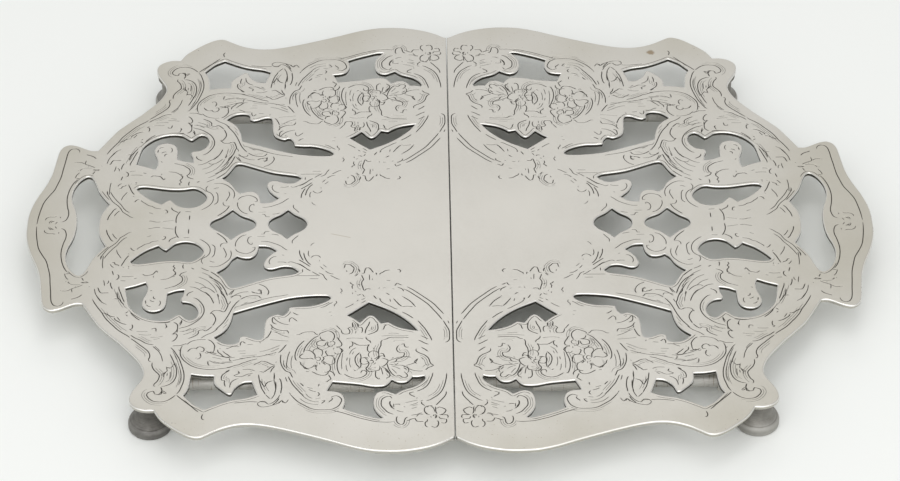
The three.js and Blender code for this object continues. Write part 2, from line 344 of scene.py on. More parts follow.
def soften(mesh, flat_limit, crease):
    """Smooth shading, but sharp where faces meet at more than the crease, and round level faces
    where they meet at more than the flat limit, both in degrees."""
    mesh.shade_smooth()
    count = len(mesh.polygons)
    normals = np.empty(count * 3)
    mesh.polygons.foreach_get("normal", normals)
    normals = normals.reshape(-1, 3)
    loops = np.empty(len(mesh.loops), int)
    mesh.loops.foreach_get("edge_index", loops)
    sizes = np.empty(count, int)
    mesh.polygons.foreach_get("loop_total", sizes)
    owner = np.repeat(np.arange(count), sizes)
    order = np.argsort(loops, kind="stable")
    edges, first = np.unique(loops[order], return_index=True)
    one = owner[order[first]]
    two = owner[order[np.minimum(first + 1, len(order) - 1)]]
    bend = np.degrees(np.arccos(np.clip((normals[one] * normals[two]).sum(1), -1, 1)))
    level = np.abs(normals[:, 2]) > LEVEL
    flat = level[one] != level[two]
    sharp = np.zeros(len(mesh.edges), bool)
    sharp[edges] = (bend > crease) | (flat & (bend > flat_limit))
    layer = mesh.attributes.new("sharp_edge", "BOOLEAN", "EDGE")
    layer.data.foreach_set("value", sharp)


# ---------------------------------------------------------------- plate outlines


SAME_HEIGHT = 0.01


def cad_loops(node):
    """The outlines of a CAD plate's top face, in millimetres, each with the metal on its left."""
    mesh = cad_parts[node].data
    spots = [tuple(round(c / MM, 3) for c in v.co) for v in mesh.vertices]
    sides = {}
    for face in mesh.polygons:
        corners = [spots[i] for i in face.vertices]
        if all(abs(c[2] - PLATE_TOP) < SAME_HEIGHT for c in corners):
            for a, b in zip(corners, corners[1:] + corners[:1]):
                sides[a[:2], b[:2]] = True
    ahead = {a: b for a, b in sides if (b, a) not in sides}
    loops = []
    while ahead:
        start, here = ahead.popitem()
        loop = [start]
        while here != start:
            loop.append(here)
            here = ahead.pop(here)
        loops.append(np.array(loop))
    return loops


def turn_at(before, here, after):
    """How far a line turns at a point, in radians."""
    a, b = here - before, after - here
    return abs(math.atan2(a[0] * b[1] - a[1] * b[0], a @ b))


def smooth_run(points, step):
    """A run of points carried on by a smooth curve, with both ends kept."""
    if len(points) < 3:
        start, end = points
        count = max(1, round(np.linalg.norm(end - start) / step))
        return [start + (end - start) * k / count for k in range(count)]
    padded = [2 * points[0] - points[1], *points, 2 * points[-1] - points[-2]]
    run = []
    for p0, p1, p2, p3 in zip(padded, padded[1:], padded[2:], padded[3:]):
        d0, d1, d2 = (max(1e-6, math.sqrt(np.linalg.norm(q - p)))
                      for p, q in ((p0, p1), (p1, p2), (p2, p3)))
        m1 = (p1 - p0) / d0 - (p2 - p0) / (d0 + d1) + (p2 - p1) / d1
        m2 = (p2 - p1) / d1 - (p3 - p1) / (d1 + d2) + (p3 - p2) / d2
        m1, m2 = m1 * d1, m2 * d1
        count = max(1, round(d1 * d1 / step))
        for k in range(count):
            t = k / count
            run.append(
                p1 * (2 * t**3 - 3 * t**2 + 1) + m1 * (t**3 - 2 * t**2 + t)
                + p2 * (3 * t**2 - 2 * t**3) + m2 * (t**3 - t**2))
    return run


CORNER_TURN = math.radians(44)


def smooth_loop(loop, step):
    """The loop resampled along smooth curves between its corners, starting at a corner."""
    count = len(loop)
    corners = [i for i in range(count) if turn_at(
        loop[i - 1], loop[i], loop[(i + 1) % count]) > CORNER_TURN]
    if not corners:
        wrapped = np.concatenate([loop[-2:], loop, loop[:3]])
        lead = len(smooth_run(wrapped[:3], step))
        whole = smooth_run(list(wrapped), step)
        tail = len(smooth_run(wrapped[-3:], step))
        return np.array(whole[lead:len(whole) - tail])
    out = []
    for a, b in zip(corners, corners[1:] + [corners[0] + count]):
        out += smooth_run([loop[i % count] for i in range(a, b + 1)], step)
    return np.array(out)


# At sharp corners a moved point goes at most this many times the reach.
CORNER_STRETCH = 1.7


def inset(loop, reach):
    """The loop moved into the metal on its left by the reach at each point."""
    ahead = np.roll(loop, -1, 0) - loop
    ahead /= np.linalg.norm(ahead, axis=1, keepdims=True)
    behind = np.roll(ahead, 1, 0)
    normal = np.stack([-ahead[:, 1] - behind[:, 1], ahead[:, 0] + behind[:, 0]], 1)
    size = np.linalg.norm(normal, axis=1, keepdims=True)
    normal /= np.maximum(size, 1e-6)
    stretch = np.minimum(2 / np.maximum(size, 1e-6), CORNER_STRETCH)
    return loop + normal * stretch * np.asarray(reach)[:, None]


def inside(points, loops):
    """Which points lie inside an odd number of the loops."""
    result = np.zeros(len(points), bool)
    for loop in loops:
        low, high = loop.min(0), loop.max(0)
        near = np.flatnonzero(((points > low) & (points < high)).all(1))
        if not len(near):
            continue
        a, b = loop, np.roll(loop, -1, 0)
        x, y = points[near, 0][:, None], points[near, 1][:, None]
        crosses = (a[:, 1] > y) != (b[:, 1] > y)
        rise = np.where(b[:, 1] == a[:, 1], 1e-9, b[:, 1] - a[:, 1])
        at = a[:, 0] + (y - a[:, 1]) / rise * (b[:, 0] - a[:, 0])
        result[near] ^= (np.count_nonzero(crosses & (x < at), axis=1) % 2).astype(bool)
    return result


# ---------------------------------------------------------------- engraving

# Cuts on one quarter of the trivet, in millimetres out from the seam and out from the long axis,
# repeated by turning and mirroring. Each cut is a run of places along its middle line. The three
# lists are for deep, plain and light cuts.
BOLD_CUTS = [
    # Border round the back of the half: a scroll's end, the hook at the apex, and the handle.
    [(71.9, 100.8), (75, 100.6), (78.1, 100.9), (81.3, 101.4)],
    [(90.9, 110.1), (92, 110), (92.5, 108.9), (92.2, 107.6), (92, 106.9)],
    [(147.8, 44.4), (147.6, 45.3), (148.1, 46.6), (149.4, 47.3), (150.9, 47), (151.9, 45.6),
     (152.4, 43.4), (152.8, 39.4), (153.3, 35), (153.9, 29.4), (154.9, 25), (155.9, 21.3),
     (157.8, 17.5), (159.4, 13.8), (160.3, 9.4), (160.9, 5), (161.2, 0.3)],
    # Border along the big centre opening, from the seam to the flowers.
    [(3.8, 56.5), (5.3, 53.7), (7.2, 50.6), (9.1, 47.6), (11.6, 44.8), (14.1, 42.3),
     (16.6, 39.9), (18.8, 38.3)],
    [(3.1, 53.4), (5.3, 49.9), (6.9, 47.4), (9.4, 44.6), (12.2, 41.8), (14.7, 39.3),
     (17.5, 37.1)],
    [(14.7, 55.6), (16.9, 53.4), (19.4, 51.5)],
    # Bud behind the middle of the plate.
    [(66.9, 102.6), (65.3, 100.8), (64.3, 98.6)],
    # Shell at the outer end of the centre, and the sprig between it and the handle.
    [(138.4, 33.8), (140.6, 34.1), (141.9, 33.8)],
    [(140.6, 33.4), (141.3, 31.6), (141.9, 30.9)],
    [(140.6, 40.6), (141.6, 41.9), (143.1, 42.8), (144.5, 43.4), (144.7, 43.8)],
    [(145.3, 34.7), (146.6, 33.8), (146.3, 33.1)],
    [(147, 28.4), (148.4, 26), (149.4, 23.4), (150.1, 20.4), (150.5, 17.2), (150.4, 13.8),
     (149.9, 10.4), (149.3, 7.5), (149.4, 5), (150.2, 2.8), (151.9, 1.7)],
    # Leaf ends by the shell and at the handle.
    [(138.8, 34), (139.5, 33.5), (142, 34)],
    [(144.5, 29), (146.2, 28.7), (148.3, 28.8)],
    [(152.3, 5.3), (152.3, 4)],
    [(154, 2.8), (155.5, 2), (156, 1)],
    # Sprig between the border and the plain centre.
    [(14, 48.8), (15.8, 45.9), (18.8, 43)],
]

PLAIN_CUTS = [
    [(61.3, 100.8), (62.2, 101.4), (63.1, 101.1), (63.3, 100.1), (65, 101.7), (66.9, 102.6),
     (68.8, 103.3), (70.9, 103.4), (72, 102.6), (72.2, 101.4), (71.3, 100.9)],
    [(140.6, 35), (141.9, 35.9), (143.8, 36.9), (144.9, 37.5), (144.7, 39.1), (144.5, 40)],
    [(144.9, 37.5), (146.6, 38.6), (149.1, 38.6)],
    [(153.4, 5.6), (154.7, 5), (156.3, 5), (157.7, 4.2), (158.1, 2.6)],
    [(153.1, 2.2), (153.8, 1.1), (154.1, 0.3)],
    [(154.6, 2.9), (155.7, 2.6), (156.4, 1.6), (156.2, 0.6)],
    [(68.5, 101.5), (70, 100.8), (72, 100.8)],
    [(14.5, 49), (17, 48.5), (19.5, 48.8)],
    [(146.5, 32.5), (147.8, 30.5), (148.3, 28.5)],
]

FINE_CUTS = [
    [(141.3, 35), (143.8, 35.1), (146.3, 34.9)],
]

# Cuts of the front left quarter as the camera sees them, in picture points across and down:
# outlines of flowers, leaves and scrolls first, then plainer lines, then light hatching.
SEEN_DEEP = [
    [(320, 335), (314, 338), (310, 341.5), (306.5, 345.5), (304.5, 349), (303.5, 353)],
    [(320, 336), (319.5, 334), (322, 332.5), (325, 331.5), (328, 330.5), (330, 331), (332, 332),
     (334, 334), (334.5, 337), (333, 340), (332, 341)],
    [(320, 336), (321, 339), (324, 340), (327, 340)],
    [(327, 340), (323, 340.3), (320, 340.5), (317.5, 341.5), (316.5, 343), (317, 345),
     (319, 345.5), (322, 346), (325, 345), (326, 343), (327, 341.5)],
    [(317.5, 345.5), (317.5, 347.5), (319.5, 349), (322, 350), (324, 349)],
    [(327, 341), (328, 342.5), (327.5, 344), (329, 346.5), (332, 346.5), (333, 345)],
    [(337, 337), (338.5, 339), (340, 341), (341.5, 343), (342, 344.5), (341, 346), (339, 346.5),
     (337, 346.5), (336.5, 348)],
    [(327, 350), (325.5, 352), (326.5, 354), (328, 355.5), (331, 355.5), (334, 355),
     (336, 354.5)],
    [(339, 347), (341, 348.5), (343, 350.5), (341, 352.5), (340, 355), (338.5, 358),
     (337.5, 361), (337, 365), (337.5, 369), (338.5, 372), (340, 374), (343, 374.5)],
    [(304, 350), (308, 350), (311, 351), (313, 352.5), (315, 355), (315, 358), (316, 360)],
    [(304, 353), (301, 355), (299.5, 357), (302, 358.5), (306, 358.5), (311, 358), (314, 359.5)],
    [(299, 361), (300.5, 362.5), (301, 364.5), (303, 366), (305, 368.5), (308, 369), (310, 369)],
    [(305, 370.5), (308, 371.5), (310, 370)],
    [(313, 367), (315, 366.5), (316, 364)],
    [(322, 356), (324, 358.5), (322, 361), (321, 363)],
    [(334, 358), (334.5, 360), (335, 362), (334, 363.5)],
    [(328, 364), (330, 365.5), (330.5, 368), (329.5, 371), (327, 372), (323, 371.5)],
    [(311, 371), (314, 372.5), (317, 374), (321, 375), (325, 375), (327, 374), (329, 371.5)],
    [(327, 371), (330, 371), (333, 372.5), (334.5, 375), (334, 377)],
    [(328, 374), (330, 377), (331, 379), (329, 380), (327, 381.5), (325, 382)],
    [(343.5, 373.5), (346, 375), (349, 376.5), (352, 377.5), (356, 378), (360, 377.5),
     (363, 376.5), (366, 374.5), (367, 372.5), (366, 371), (364, 370), (362, 370.5), (361, 372),
     (361, 374)],
    [(353, 369), (355, 370.5), (357, 371)],
    [(360, 352), (358, 354), (356, 356), (355, 359), (355.5, 362), (357, 365), (359, 367),
     (360, 369)],
    [(360, 353), (361, 357), (360.5, 361), (361, 365), (360, 368)],
    [(350, 341), (352.5, 342), (353, 344), (352, 346), (350, 346.5), (349.5, 349)],
    [(353, 342), (356, 344), (359, 345), (363, 345), (367, 345), (370, 344)],
    [(341, 329), (341.5, 331.5), (343, 333.5), (349, 333.5), (350, 332), (349.5, 330),
     (348, 328.5), (350, 327), (352.5, 327), (352.5, 323), (354, 321.5), (356, 322), (358, 324),
     (358.5, 327), (361, 327), (362.5, 329), (362, 332), (361, 333)],
    [(376.5, 320), (377.5, 324), (378, 327), (377.5, 330), (375, 332), (371, 333.5), (367, 335)],
    [(370, 321), (368.5, 325), (366.5, 328), (365.5, 331), (365, 334)],
    [(366, 336), (366, 338), (368, 340), (370, 341), (371, 343.5)],
    [(370, 344), (368, 346), (367.5, 350), (368.5, 351.5), (371, 351.5)],
    [(383, 339.5), (381, 341.5), (381, 345), (379, 349), (378.5, 353), (379, 357), (377, 359),
     (375.5, 361)],
    [(379, 353), (383, 353.5), (384, 355), (385, 357.5)],
    [(362, 357.5), (367, 357.5), (369, 359)],
    [(365, 360.5), (368, 361.5), (369, 363), (368, 366), (366, 368), (366.5, 370), (369, 371.5),
     (373, 371), (376, 370.5), (379, 370), (380, 367), (379, 365)],
    [(380, 358), (383, 358), (386, 359), (388, 360), (387, 363), (385, 365), (382, 366.5),
     (380, 366)],
    [(376, 370.5), (375.5, 373), (376, 377), (378, 378.5), (379.5, 379), (379.5, 377)],
    [(381, 367), (385, 368), (388, 371), (390, 374), (389, 377), (387, 377.5), (386.5, 379.5)],
    [(387, 363), (388, 367), (390, 371), (393, 374.5), (396, 376), (399, 375), (402, 377),
     (405, 377.5), (407.5, 376), (407, 374), (405, 372.5), (404, 371)],
    [(382, 339), (386, 339), (389, 337.5), (394, 337), (400, 337), (405, 337), (410, 337.5)],
    [(382.5, 330), (384, 328), (384.5, 326), (386, 325), (389, 325.5)],
    [(400, 344.5), (398, 346), (396.5, 349), (398, 351.5), (400, 352.5), (404, 352.5),
     (404.5, 354), (403, 356.5), (400, 358), (397, 359), (396, 361), (393, 362.5)],
    [(400, 344.5), (402, 344), (404, 343.5), (404.5, 346), (406, 347), (408, 347), (409, 346)],
    [(402, 366.5), (406, 366.5), (410, 367.5)],
    [(403, 367), (406, 369), (407.5, 370.5)],
    [(416.5, 348), (416, 350.5), (417, 351.5), (420, 353), (424, 354.5), (427, 356.5),
     (429, 359), (430, 362), (431.5, 364), (433.5, 365), (431, 366.5), (428, 367.5),
     (426, 369.5), (424.5, 370)],
    [(418.5, 358), (416, 360), (414.5, 361.5), (416, 363), (417.5, 363.5)],
    [(420, 346.5), (424, 348.5), (427, 350.5), (429, 352)],
    [(417.5, 339.5), (421, 341), (425, 343), (429.5, 344.5)],
    [(417.5, 320), (421, 324), (425, 328.5), (428, 333), (431, 338), (432, 341)],
    [(443, 320), (446, 325), (449, 330), (449.5, 335), (449, 340), (446, 342), (444, 342)],
    [(225, 372), (228, 370.5), (230, 369)],
    [(225, 368), (231, 366.5), (235, 365.3), (239, 364.5), (242, 363), (247, 361.5), (251, 360),
     (256, 359), (258, 357.5)],
    [(253, 365.5), (256, 363.5), (259, 362.5), (261, 361), (264, 361.2), (267, 362),
     (270, 363.5), (273, 364.5), (275.5, 364.5)],
    [(258, 371), (261, 371.5), (263.5, 372), (266, 370.5), (268.5, 369), (271, 367), (273, 366),
     (275, 364.5)],
    [(274.5, 365), (274, 367), (272, 369), (271, 371), (270, 373)],
    [(274, 373), (274.4, 376), (274, 380)],
    [(258.5, 374), (259, 378), (259.5, 381), (260.5, 385), (262, 389), (264, 392), (265.5, 395)],
    [(260, 380), (261.5, 382.5), (263, 385), (264.5, 386.5), (266, 384), (268, 382), (271, 381),
     (274, 380.5)],
    [(275.5, 381), (276, 386), (275.5, 390), (274.5, 394)],
    [(279, 378), (280.5, 380), (281.3, 383), (281.7, 387), (281, 391), (280.5, 394)],
    [(277.5, 353), (279.5, 352), (281.5, 350), (283.5, 348), (285.5, 345.5), (287.5, 344)],
    [(281, 354), (280.5, 358), (280.5, 361), (281.5, 365), (283.5, 368.5), (286, 371),
     (290, 372.5), (291.5, 375.5), (293, 378)],
    [(288, 376), (290, 380), (293, 385), (297, 389.3), (301, 393.5), (304, 396)],
    [(299.5, 382.5), (302, 384.5), (304, 386.5)],
    [(305, 340), (301, 343.5), (298, 347), (296, 351), (295, 355), (295.5, 359), (297, 361)],
    [(240.5, 346), (240.3, 343.5), (241.5, 341.5), (243, 341.5), (245, 343), (246.5, 343)],
    [(261, 343.5), (259.5, 341.5), (260.5, 339.5), (263, 339.5), (265, 338.5), (267.5, 337),
     (269, 335), (270.5, 332.5), (271.5, 330)],
    [(225, 353), (228, 355), (230, 356.5), (232, 356.5)],
    [(130, 334.6), (134.6, 337.7), (140, 340), (145.4, 343), (150, 344.2), (154.6, 344.2)],
    [(130, 338), (134.6, 341), (140, 345), (145.4, 349), (148.5, 352), (149.8, 355.8),
     (148.5, 360)],
    [(152.3, 362), (152, 365.8), (153.8, 369.6), (157, 372.7), (159.2, 375), (158.5, 379),
     (156.5, 382), (154, 384), (153.8, 386), (156, 387)],
    [(170, 347), (173, 349.6), (176, 353.8), (179.2, 358.8), (181, 363.5), (183, 369.6),
     (184, 375), (183.5, 381), (181, 387.3), (179.2, 391), (176, 394.6)],
    [(176, 394.6), (173, 397), (168, 400), (163, 401.5), (158, 401.7), (153, 401), (149.5, 399),
     (147.5, 397), (146.5, 395), (148, 392.5), (150.5, 391.5), (153, 391), (155, 393)],
    [(176, 394.6), (180, 398), (184, 401), (188, 404), (192, 407), (195.5, 410), (199, 412.5)],
    [(169.6, 353.5), (172, 358), (174, 362.5), (176.2, 368), (176.5, 372.5), (175.4, 378),
     (172.3, 382.3), (168.5, 384.6), (164, 386), (160, 386.2)],
    [(173.3, 363.5), (174.5, 365.5)],
    [(160.5, 386.5), (161.5, 389), (162, 392), (161, 394), (158, 394.5), (156, 394)],
    [(162, 392), (165, 393.5), (168, 392.5)],
    [(166, 366), (167, 368), (169, 367.5), (170.5, 369)],
    [(166.5, 371), (165, 373), (163, 375), (160, 375.5)],
    [(170.5, 341.5), (173, 341), (176, 338.5), (177.3, 335), (175.5, 333.5), (172, 334.8)],
    [(177, 333), (177.3, 330), (177.7, 325)],
    [(152, 330), (152, 328.5), (155.5, 328.3), (156, 332)],
    [(187, 338.8), (191.5, 337.3), (197, 334.6), (198.5, 332.5), (198, 330.8), (203, 329.6),
     (205, 330.8), (208.5, 329.2), (212.7, 325.8)],
    [(170.8, 345.8), (176, 345.5), (180, 345.4), (183.8, 344.2), (187.7, 343)],
    [(183, 345), (181, 348), (180.3, 351.5), (180.3, 354.5), (181.5, 357.5), (184, 360.5),
     (187.7, 363.5), (191.5, 365.8), (197, 367.7), (203, 368.8), (210, 369.3), (217, 368.9),
     (223, 368.2), (232, 367)],
    [(207, 339.2), (210.8, 340.8), (213.5, 343.5), (214.8, 346.5), (213.5, 350)],
    [(187.3, 352), (189, 350), (190.8, 348.7), (193.8, 347.7)],
    [(196.5, 349.6), (197, 347.7), (200, 346.5), (202.7, 347.3), (204.2, 348.8), (203, 351.5),
     (199.5, 351)],
    [(199.2, 352.5), (200.5, 354.5), (199.8, 356.5)],
    [(204, 352), (207, 353), (210.8, 351.6), (214, 353), (217.5, 353.5)],
    [(208, 360.5), (207.8, 362), (208.5, 365), (211, 365.5)],
    [(217.7, 348.8), (218, 352), (220.8, 354), (223.5, 356.5), (228.5, 357), (231.5, 356.2)],
    [(230.8, 369.6), (225.4, 372.7), (222.3, 375), (221.2, 378), (221.5, 380), (224.6, 380.4),
     (224.2, 382.7), (225.4, 387.3)],
    [(290, 394), (294.6, 398.8), (298.5, 402), (304, 405), (310, 408), (315.5, 409.3),
     (324, 409.6), (331, 409.2), (334.6, 408), (338.5, 405.8), (341, 402), (341.7, 399.6),
     (340, 397.3), (336, 395.4), (332, 396.6), (330, 397.3)],
    [(331, 409.6), (335.4, 410.8), (344, 413), (351.5, 415.4), (359, 417.7), (367, 419.6),
     (374.6, 421.2), (382, 421.8), (390, 421.9), (395, 421.3)],
    [(316.5, 383.8), (319, 383.8), (318, 387)],
    [(317, 391.5), (319.5, 394), (317, 396.5)],
    [(320, 400.5), (325, 400.2), (322, 403), (320, 403.2)],
    [(328.5, 403), (329.2, 401.4), (331.5, 400), (332.6, 398.5), (331, 397)],
    [(392.5, 399), (390, 396.2), (386.5, 396.4), (382.3, 398.8), (381.2, 402), (381.5, 405.8),
     (384.3, 408.8), (387.7, 412), (392.3, 413.8), (395, 414.5)],
    [(390.4, 401), (390, 404), (393, 407.5)],
    [(391.8, 400.7), (390, 401.4), (389.8, 404), (391.5, 407), (395.5, 409.5)],
    [(392.9, 404.3), (395.7, 404), (399.3, 404), (400.7, 405)],
    [(402.1, 406.4), (404.3, 406.6), (406.4, 407)],
    [(433, 372), (432.3, 375.5), (430.6, 379.5), (428.9, 383.2), (426.4, 386.1), (422.9, 388.6),
     (417.9, 390.7), (415.7, 391.4)],
    [(415.7, 391.4), (410.7, 392.3), (409.6, 392.7), (410, 394.3), (412.9, 395.7),
     (415.7, 397.1)],
    [(446.8, 372.5), (446.4, 377), (445.6, 381), (444.3, 385.5), (442.5, 389.5), (440.4, 392.5),
     (437.1, 395.4), (433.6, 397.5), (430, 399.6), (427.5, 400.4), (425, 401)],
    [(446.4, 390.7), (446, 393.9), (443.9, 397.1), (440.7, 400.4), (437.9, 403.2),
     (435.4, 405.4)],
    [(419.5, 401.5), (422, 400.2), (424.3, 399.7)],
    [(422, 401), (421.6, 403.3), (424, 405), (425, 406.5)],
    [(425, 407.1), (427.5, 406.8), (428.6, 405.7), (431.4, 405.4), (434.3, 405.4)],
    [(424.6, 407.5), (424.3, 410), (425, 412.1), (427.1, 413.6), (429.3, 415)],
    [(434.6, 405.7), (435.7, 407.5), (435.7, 410.7), (436.4, 412.9), (437.9, 414.3)],
    [(435.7, 408.2), (437.5, 407.9), (439.3, 406.8), (442.1, 407.5), (444.6, 408.6),
     (446.1, 410), (445, 412.1), (442.5, 413.9), (439.3, 413.6)],
    [(437.9, 414.3), (442.9, 414.6), (447.1, 414.6), (448.2, 416.8), (447.1, 418.6)],
    [(438.6, 415.7), (440.4, 418.4), (443.6, 418.6), (446.4, 418.9), (446.8, 421.1),
     (445.4, 422.9), (442.1, 422.6), (439.6, 422.1)],
    [(437.1, 420), (438.6, 422.1), (438.2, 425), (436.8, 426.8), (434.6, 427.1), (432.1, 426.4),
     (431.1, 425.5)],
    [(427.5, 418.6), (427.1, 421.1), (425.4, 422.1), (425.4, 425.4), (427.1, 426.8),
     (430, 426.4)],
    [(398.6, 415.7), (396.8, 417.1), (396.4, 420), (397.1, 422.1), (399.6, 423.9),
     (402.5, 424.3), (403.9, 422.9), (404.6, 420), (405.4, 418.2), (408.6, 416.4)],
    [(405.7, 420.6), (408.9, 420), (411.4, 418.9), (415, 418.2), (415.7, 419.6), (417.1, 421.1),
     (420.7, 421.3), (425, 421.1)],
    [(191.8, 297.5), (195.9, 298.3), (199.3, 300.8), (202.2, 304.2), (203.8, 307.5),
     (204, 311.7), (202.6, 315), (199.7, 318.8), (195.9, 321.7), (190.9, 324.6), (185.5, 326.7),
     (181.8, 327.5), (178, 328.8)],
    [(187, 296.5), (187.3, 294.3), (190, 292.3), (194.7, 290.8)],
    [(204.7, 291.7), (208.8, 295), (211.3, 298.3), (213, 301.7), (213.8, 303.8)],
    [(220.9, 290), (221.3, 293.3), (223.8, 295.8), (225.9, 299.2), (226.8, 302.5), (228, 304.6),
     (226.8, 307.9), (224.7, 311.3), (223, 311.7), (219.7, 310.4), (216.3, 310.3)],
    [(225.1, 290), (226.3, 293.3), (227.8, 296.3)],
    [(240, 299.6), (236.3, 302.9), (233.4, 306.3), (231.3, 309.6), (229.3, 313.3),
     (226.8, 317.5), (223.4, 322.1), (219.7, 325.8), (215, 330)],
    [(210.5, 314.5), (210.3, 312.8), (212, 313.3), (213.8, 315), (215.5, 318), (215.5, 320.5),
     (213.8, 323.8), (212.3, 326)],
    [(240, 299.6), (244.7, 297.1), (249.7, 295.7), (256.3, 295.4), (259.3, 296.3),
     (260.5, 297.9), (263, 298.3)],
    [(258.4, 290), (261.3, 291.7), (260.9, 295)],
    [(268.4, 290), (268.8, 292.5), (267.2, 295.4)],
    [(275.1, 315), (273, 316.7), (272.2, 320), (273, 322.5), (275.5, 323.8), (277.6, 324.2)],
    [(269.3, 323.8), (271.3, 325), (272.2, 326.7), (274.7, 328.3), (278, 329.6), (283, 330.4),
     (287.2, 330.6), (288.4, 332.1), (288.8, 334.2)],
    [(271.8, 326.7), (271.8, 330)],
    [(290.1, 307.9), (290.9, 310.4), (293.8, 312.9), (297.2, 314.6), (300, 315)],
    [(92, 298.5), (94.3, 302.7), (97.8, 307.7), (101.6, 312.3), (104.7, 317.3), (108.5, 321.5),
     (112.8, 325.4), (117.4, 329.6), (122.8, 333.1), (128.2, 336.2), (130, 338)],
    [(101.6, 312.3), (105.8, 313.5), (108.9, 315.4), (112, 316.5), (115.8, 316.4)],
    [(113.9, 317.3), (115.1, 319.6), (118.2, 321.5), (121.2, 323.1), (125.1, 324.1),
     (127.8, 324.5)],
    [(131.6, 323.8), (132.6, 326.5), (131.6, 328.8), (129.7, 329.2), (132.8, 330.8)],
    [(124.7, 313.5), (127.4, 311.9), (129.7, 310), (130.5, 308), (127.4, 306.2), (125.8, 304.2),
     (123.9, 301.2), (122, 296.9), (120.5, 292.7), (118.9, 288.8), (118.9, 285.8)],
    [(125.1, 314.2), (128.2, 316.5)],
    [(130.1, 312.3), (133.5, 315.8), (137.4, 318.8), (140.8, 320.6)],
    [(148.2, 320.4), (153.5, 321.9), (159.7, 322.7), (165.1, 322.5), (169.7, 321.9),
     (171.2, 321.2)],
    [(172.8, 321.9), (175.8, 323.1), (177.4, 324.6), (177.6, 327.7), (176.6, 330.8),
     (173.5, 333.5), (171.2, 334.6)],
    [(175.8, 318.1), (177.8, 316.2), (180.5, 316.5), (181.8, 319.6), (180.8, 322.3),
     (178.9, 324.2)],
    [(145.8, 304.2), (145.5, 301.2), (145.8, 297.3), (147.4, 294.2), (149.7, 291.2),
     (152.8, 289.6)],
    [(153.5, 295.8), (153.5, 298.1), (155.1, 298.8), (157, 298.5)],
    [(149.3, 299.2), (150.8, 300.8), (153.5, 301.5), (154.7, 300.4)],
    [(142, 273.5), (145.1, 275.4), (148.9, 275), (152.8, 274.2), (155.1, 271.9), (156.6, 270.8),
     (157.8, 273.1)],
    [(160.1, 279.6), (163.5, 279.2)],
    [(172.4, 264.6), (174.3, 265), (173.2, 266.5), (175.1, 268.1), (173.2, 270), (175.1, 271.9),
     (175.5, 275.4)],
    [(183.5, 263.8), (182.8, 266.5), (183.5, 269.2)],
    [(188.2, 271.2), (184.3, 272.1), (181.2, 273.5), (179.7, 275.4), (181.6, 276.5),
     (182.6, 279.2), (181.6, 281.9), (178.2, 284.2), (174.3, 286.2), (169.7, 287.3)],
    [(126.2, 268.5), (128.2, 268.5), (131.2, 268.2)],
    [(110.8, 262.3), (114.3, 262.3), (115.1, 264.2), (118.2, 265), (119.3, 266.5)],
    [(120.8, 266.9), (121.6, 265), (123.5, 262.3), (125.1, 259.6), (127, 257.3), (129.3, 255)],
    [(112, 270.4), (112.8, 272.7), (113.5, 275.4)],
    [(115.8, 274.2), (118.5, 275), (118.5, 278.1), (115.1, 280.4)],
    [(96.6, 288.8), (97.8, 287.7), (98.9, 290.4), (100.8, 292.7), (104.3, 292.7),
     (109.7, 292.5)],
    [(116.6, 291.9), (117.4, 295), (118.2, 298.1), (119.7, 299.6), (121.2, 301.9), (124.3, 305)],
    [(112.4, 298.8), (115.1, 298.5), (118.2, 299)],
    [(110.5, 281.9), (110.8, 285.8), (112.8, 289.6)],
    [(106.4, 229.2), (107.4, 233.8), (109.3, 237), (110.8, 239.6), (113.9, 242)],
    [(176.2, 225.4), (175.3, 229.2), (175.7, 233.1), (177.4, 236.2), (178.9, 238.1)],
    [(188.7, 228.5), (188.5, 234.2)],
    [(168.9, 242.3), (169.7, 240), (172, 238.5), (175.8, 236.9), (177.4, 236.2)],
    [(162, 236.5), (165.5, 236.5), (164.3, 239.2), (160.5, 239.6)],
    [(136.6, 250), (133.9, 250.5), (131.6, 249.2), (130.5, 247.3)],
    [(215.9, 232.4), (220.5, 235.3), (224.7, 238.7), (227.6, 243.3)],
    [(208, 276.2), (212.2, 278.3), (216.3, 280.3), (221.3, 284.5), (224.7, 289.5),
     (227.6, 295.8)],
    [(209.7, 271.2), (214.7, 274.1), (219.7, 277.8), (223, 280.3)],
    [(190.5, 267.4), (194.7, 269.5)],
    [(216.8, 295.3), (218.4, 293.3)],
    [(299.5, 249.6), (299.8, 253.8), (301.8, 258.1), (303.7, 260.8)],
    [(303.7, 252.3), (304.5, 256.5), (306.4, 260.4), (308.7, 263.1), (311.4, 265)],
    [(298.3, 259.2), (302.2, 261.5), (306, 263.8), (310.6, 266.9)],
    [(296, 263.1), (299.8, 264.2), (303.7, 266.5), (307.5, 269.2), (311.4, 271.2)],
    [(343, 268.5), (344.5, 267.3), (345.3, 264.4), (349.8, 264.3), (352, 266), (354, 267.7),
     (353.5, 270.5), (352.2, 272.7), (348.3, 274.3)],
    [(346.2, 270), (347.3, 272.2)],
    [(357.2, 268.2), (359.4, 269.9), (359.7, 272.7)],
    [(360.5, 272.7), (363.9, 273.2), (364.7, 271), (366.1, 267.9), (368.3, 267.4), (370.6, 269),
     (372.8, 271.6), (373.9, 272.9)],
    [(374, 272.4), (376.1, 272.7), (376.7, 275.4)],
    [(361.4, 274.3), (362.5, 277.1), (363.6, 279.6), (361.9, 281.6), (361.7, 284.3),
     (362.8, 287.1), (363.9, 291)],
    [(349.7, 281.8), (351.4, 283.8), (353.3, 284.6), (351.9, 286.6), (352.5, 288.5),
     (350, 288.5)],
    [(352.8, 292.1), (352.5, 294.3)],
    [(355.8, 294.3), (357.4, 294.9), (358.9, 294.9), (361.4, 293.5)],
    [(357.2, 283.2), (358.9, 284.6), (361.7, 284.6)],
    [(354.4, 290.2), (355.8, 291.6), (357.4, 291.2)],
    [(379.5, 275.5), (380, 273.5), (383, 272), (385.5, 270.5), (391.5, 269.5)],
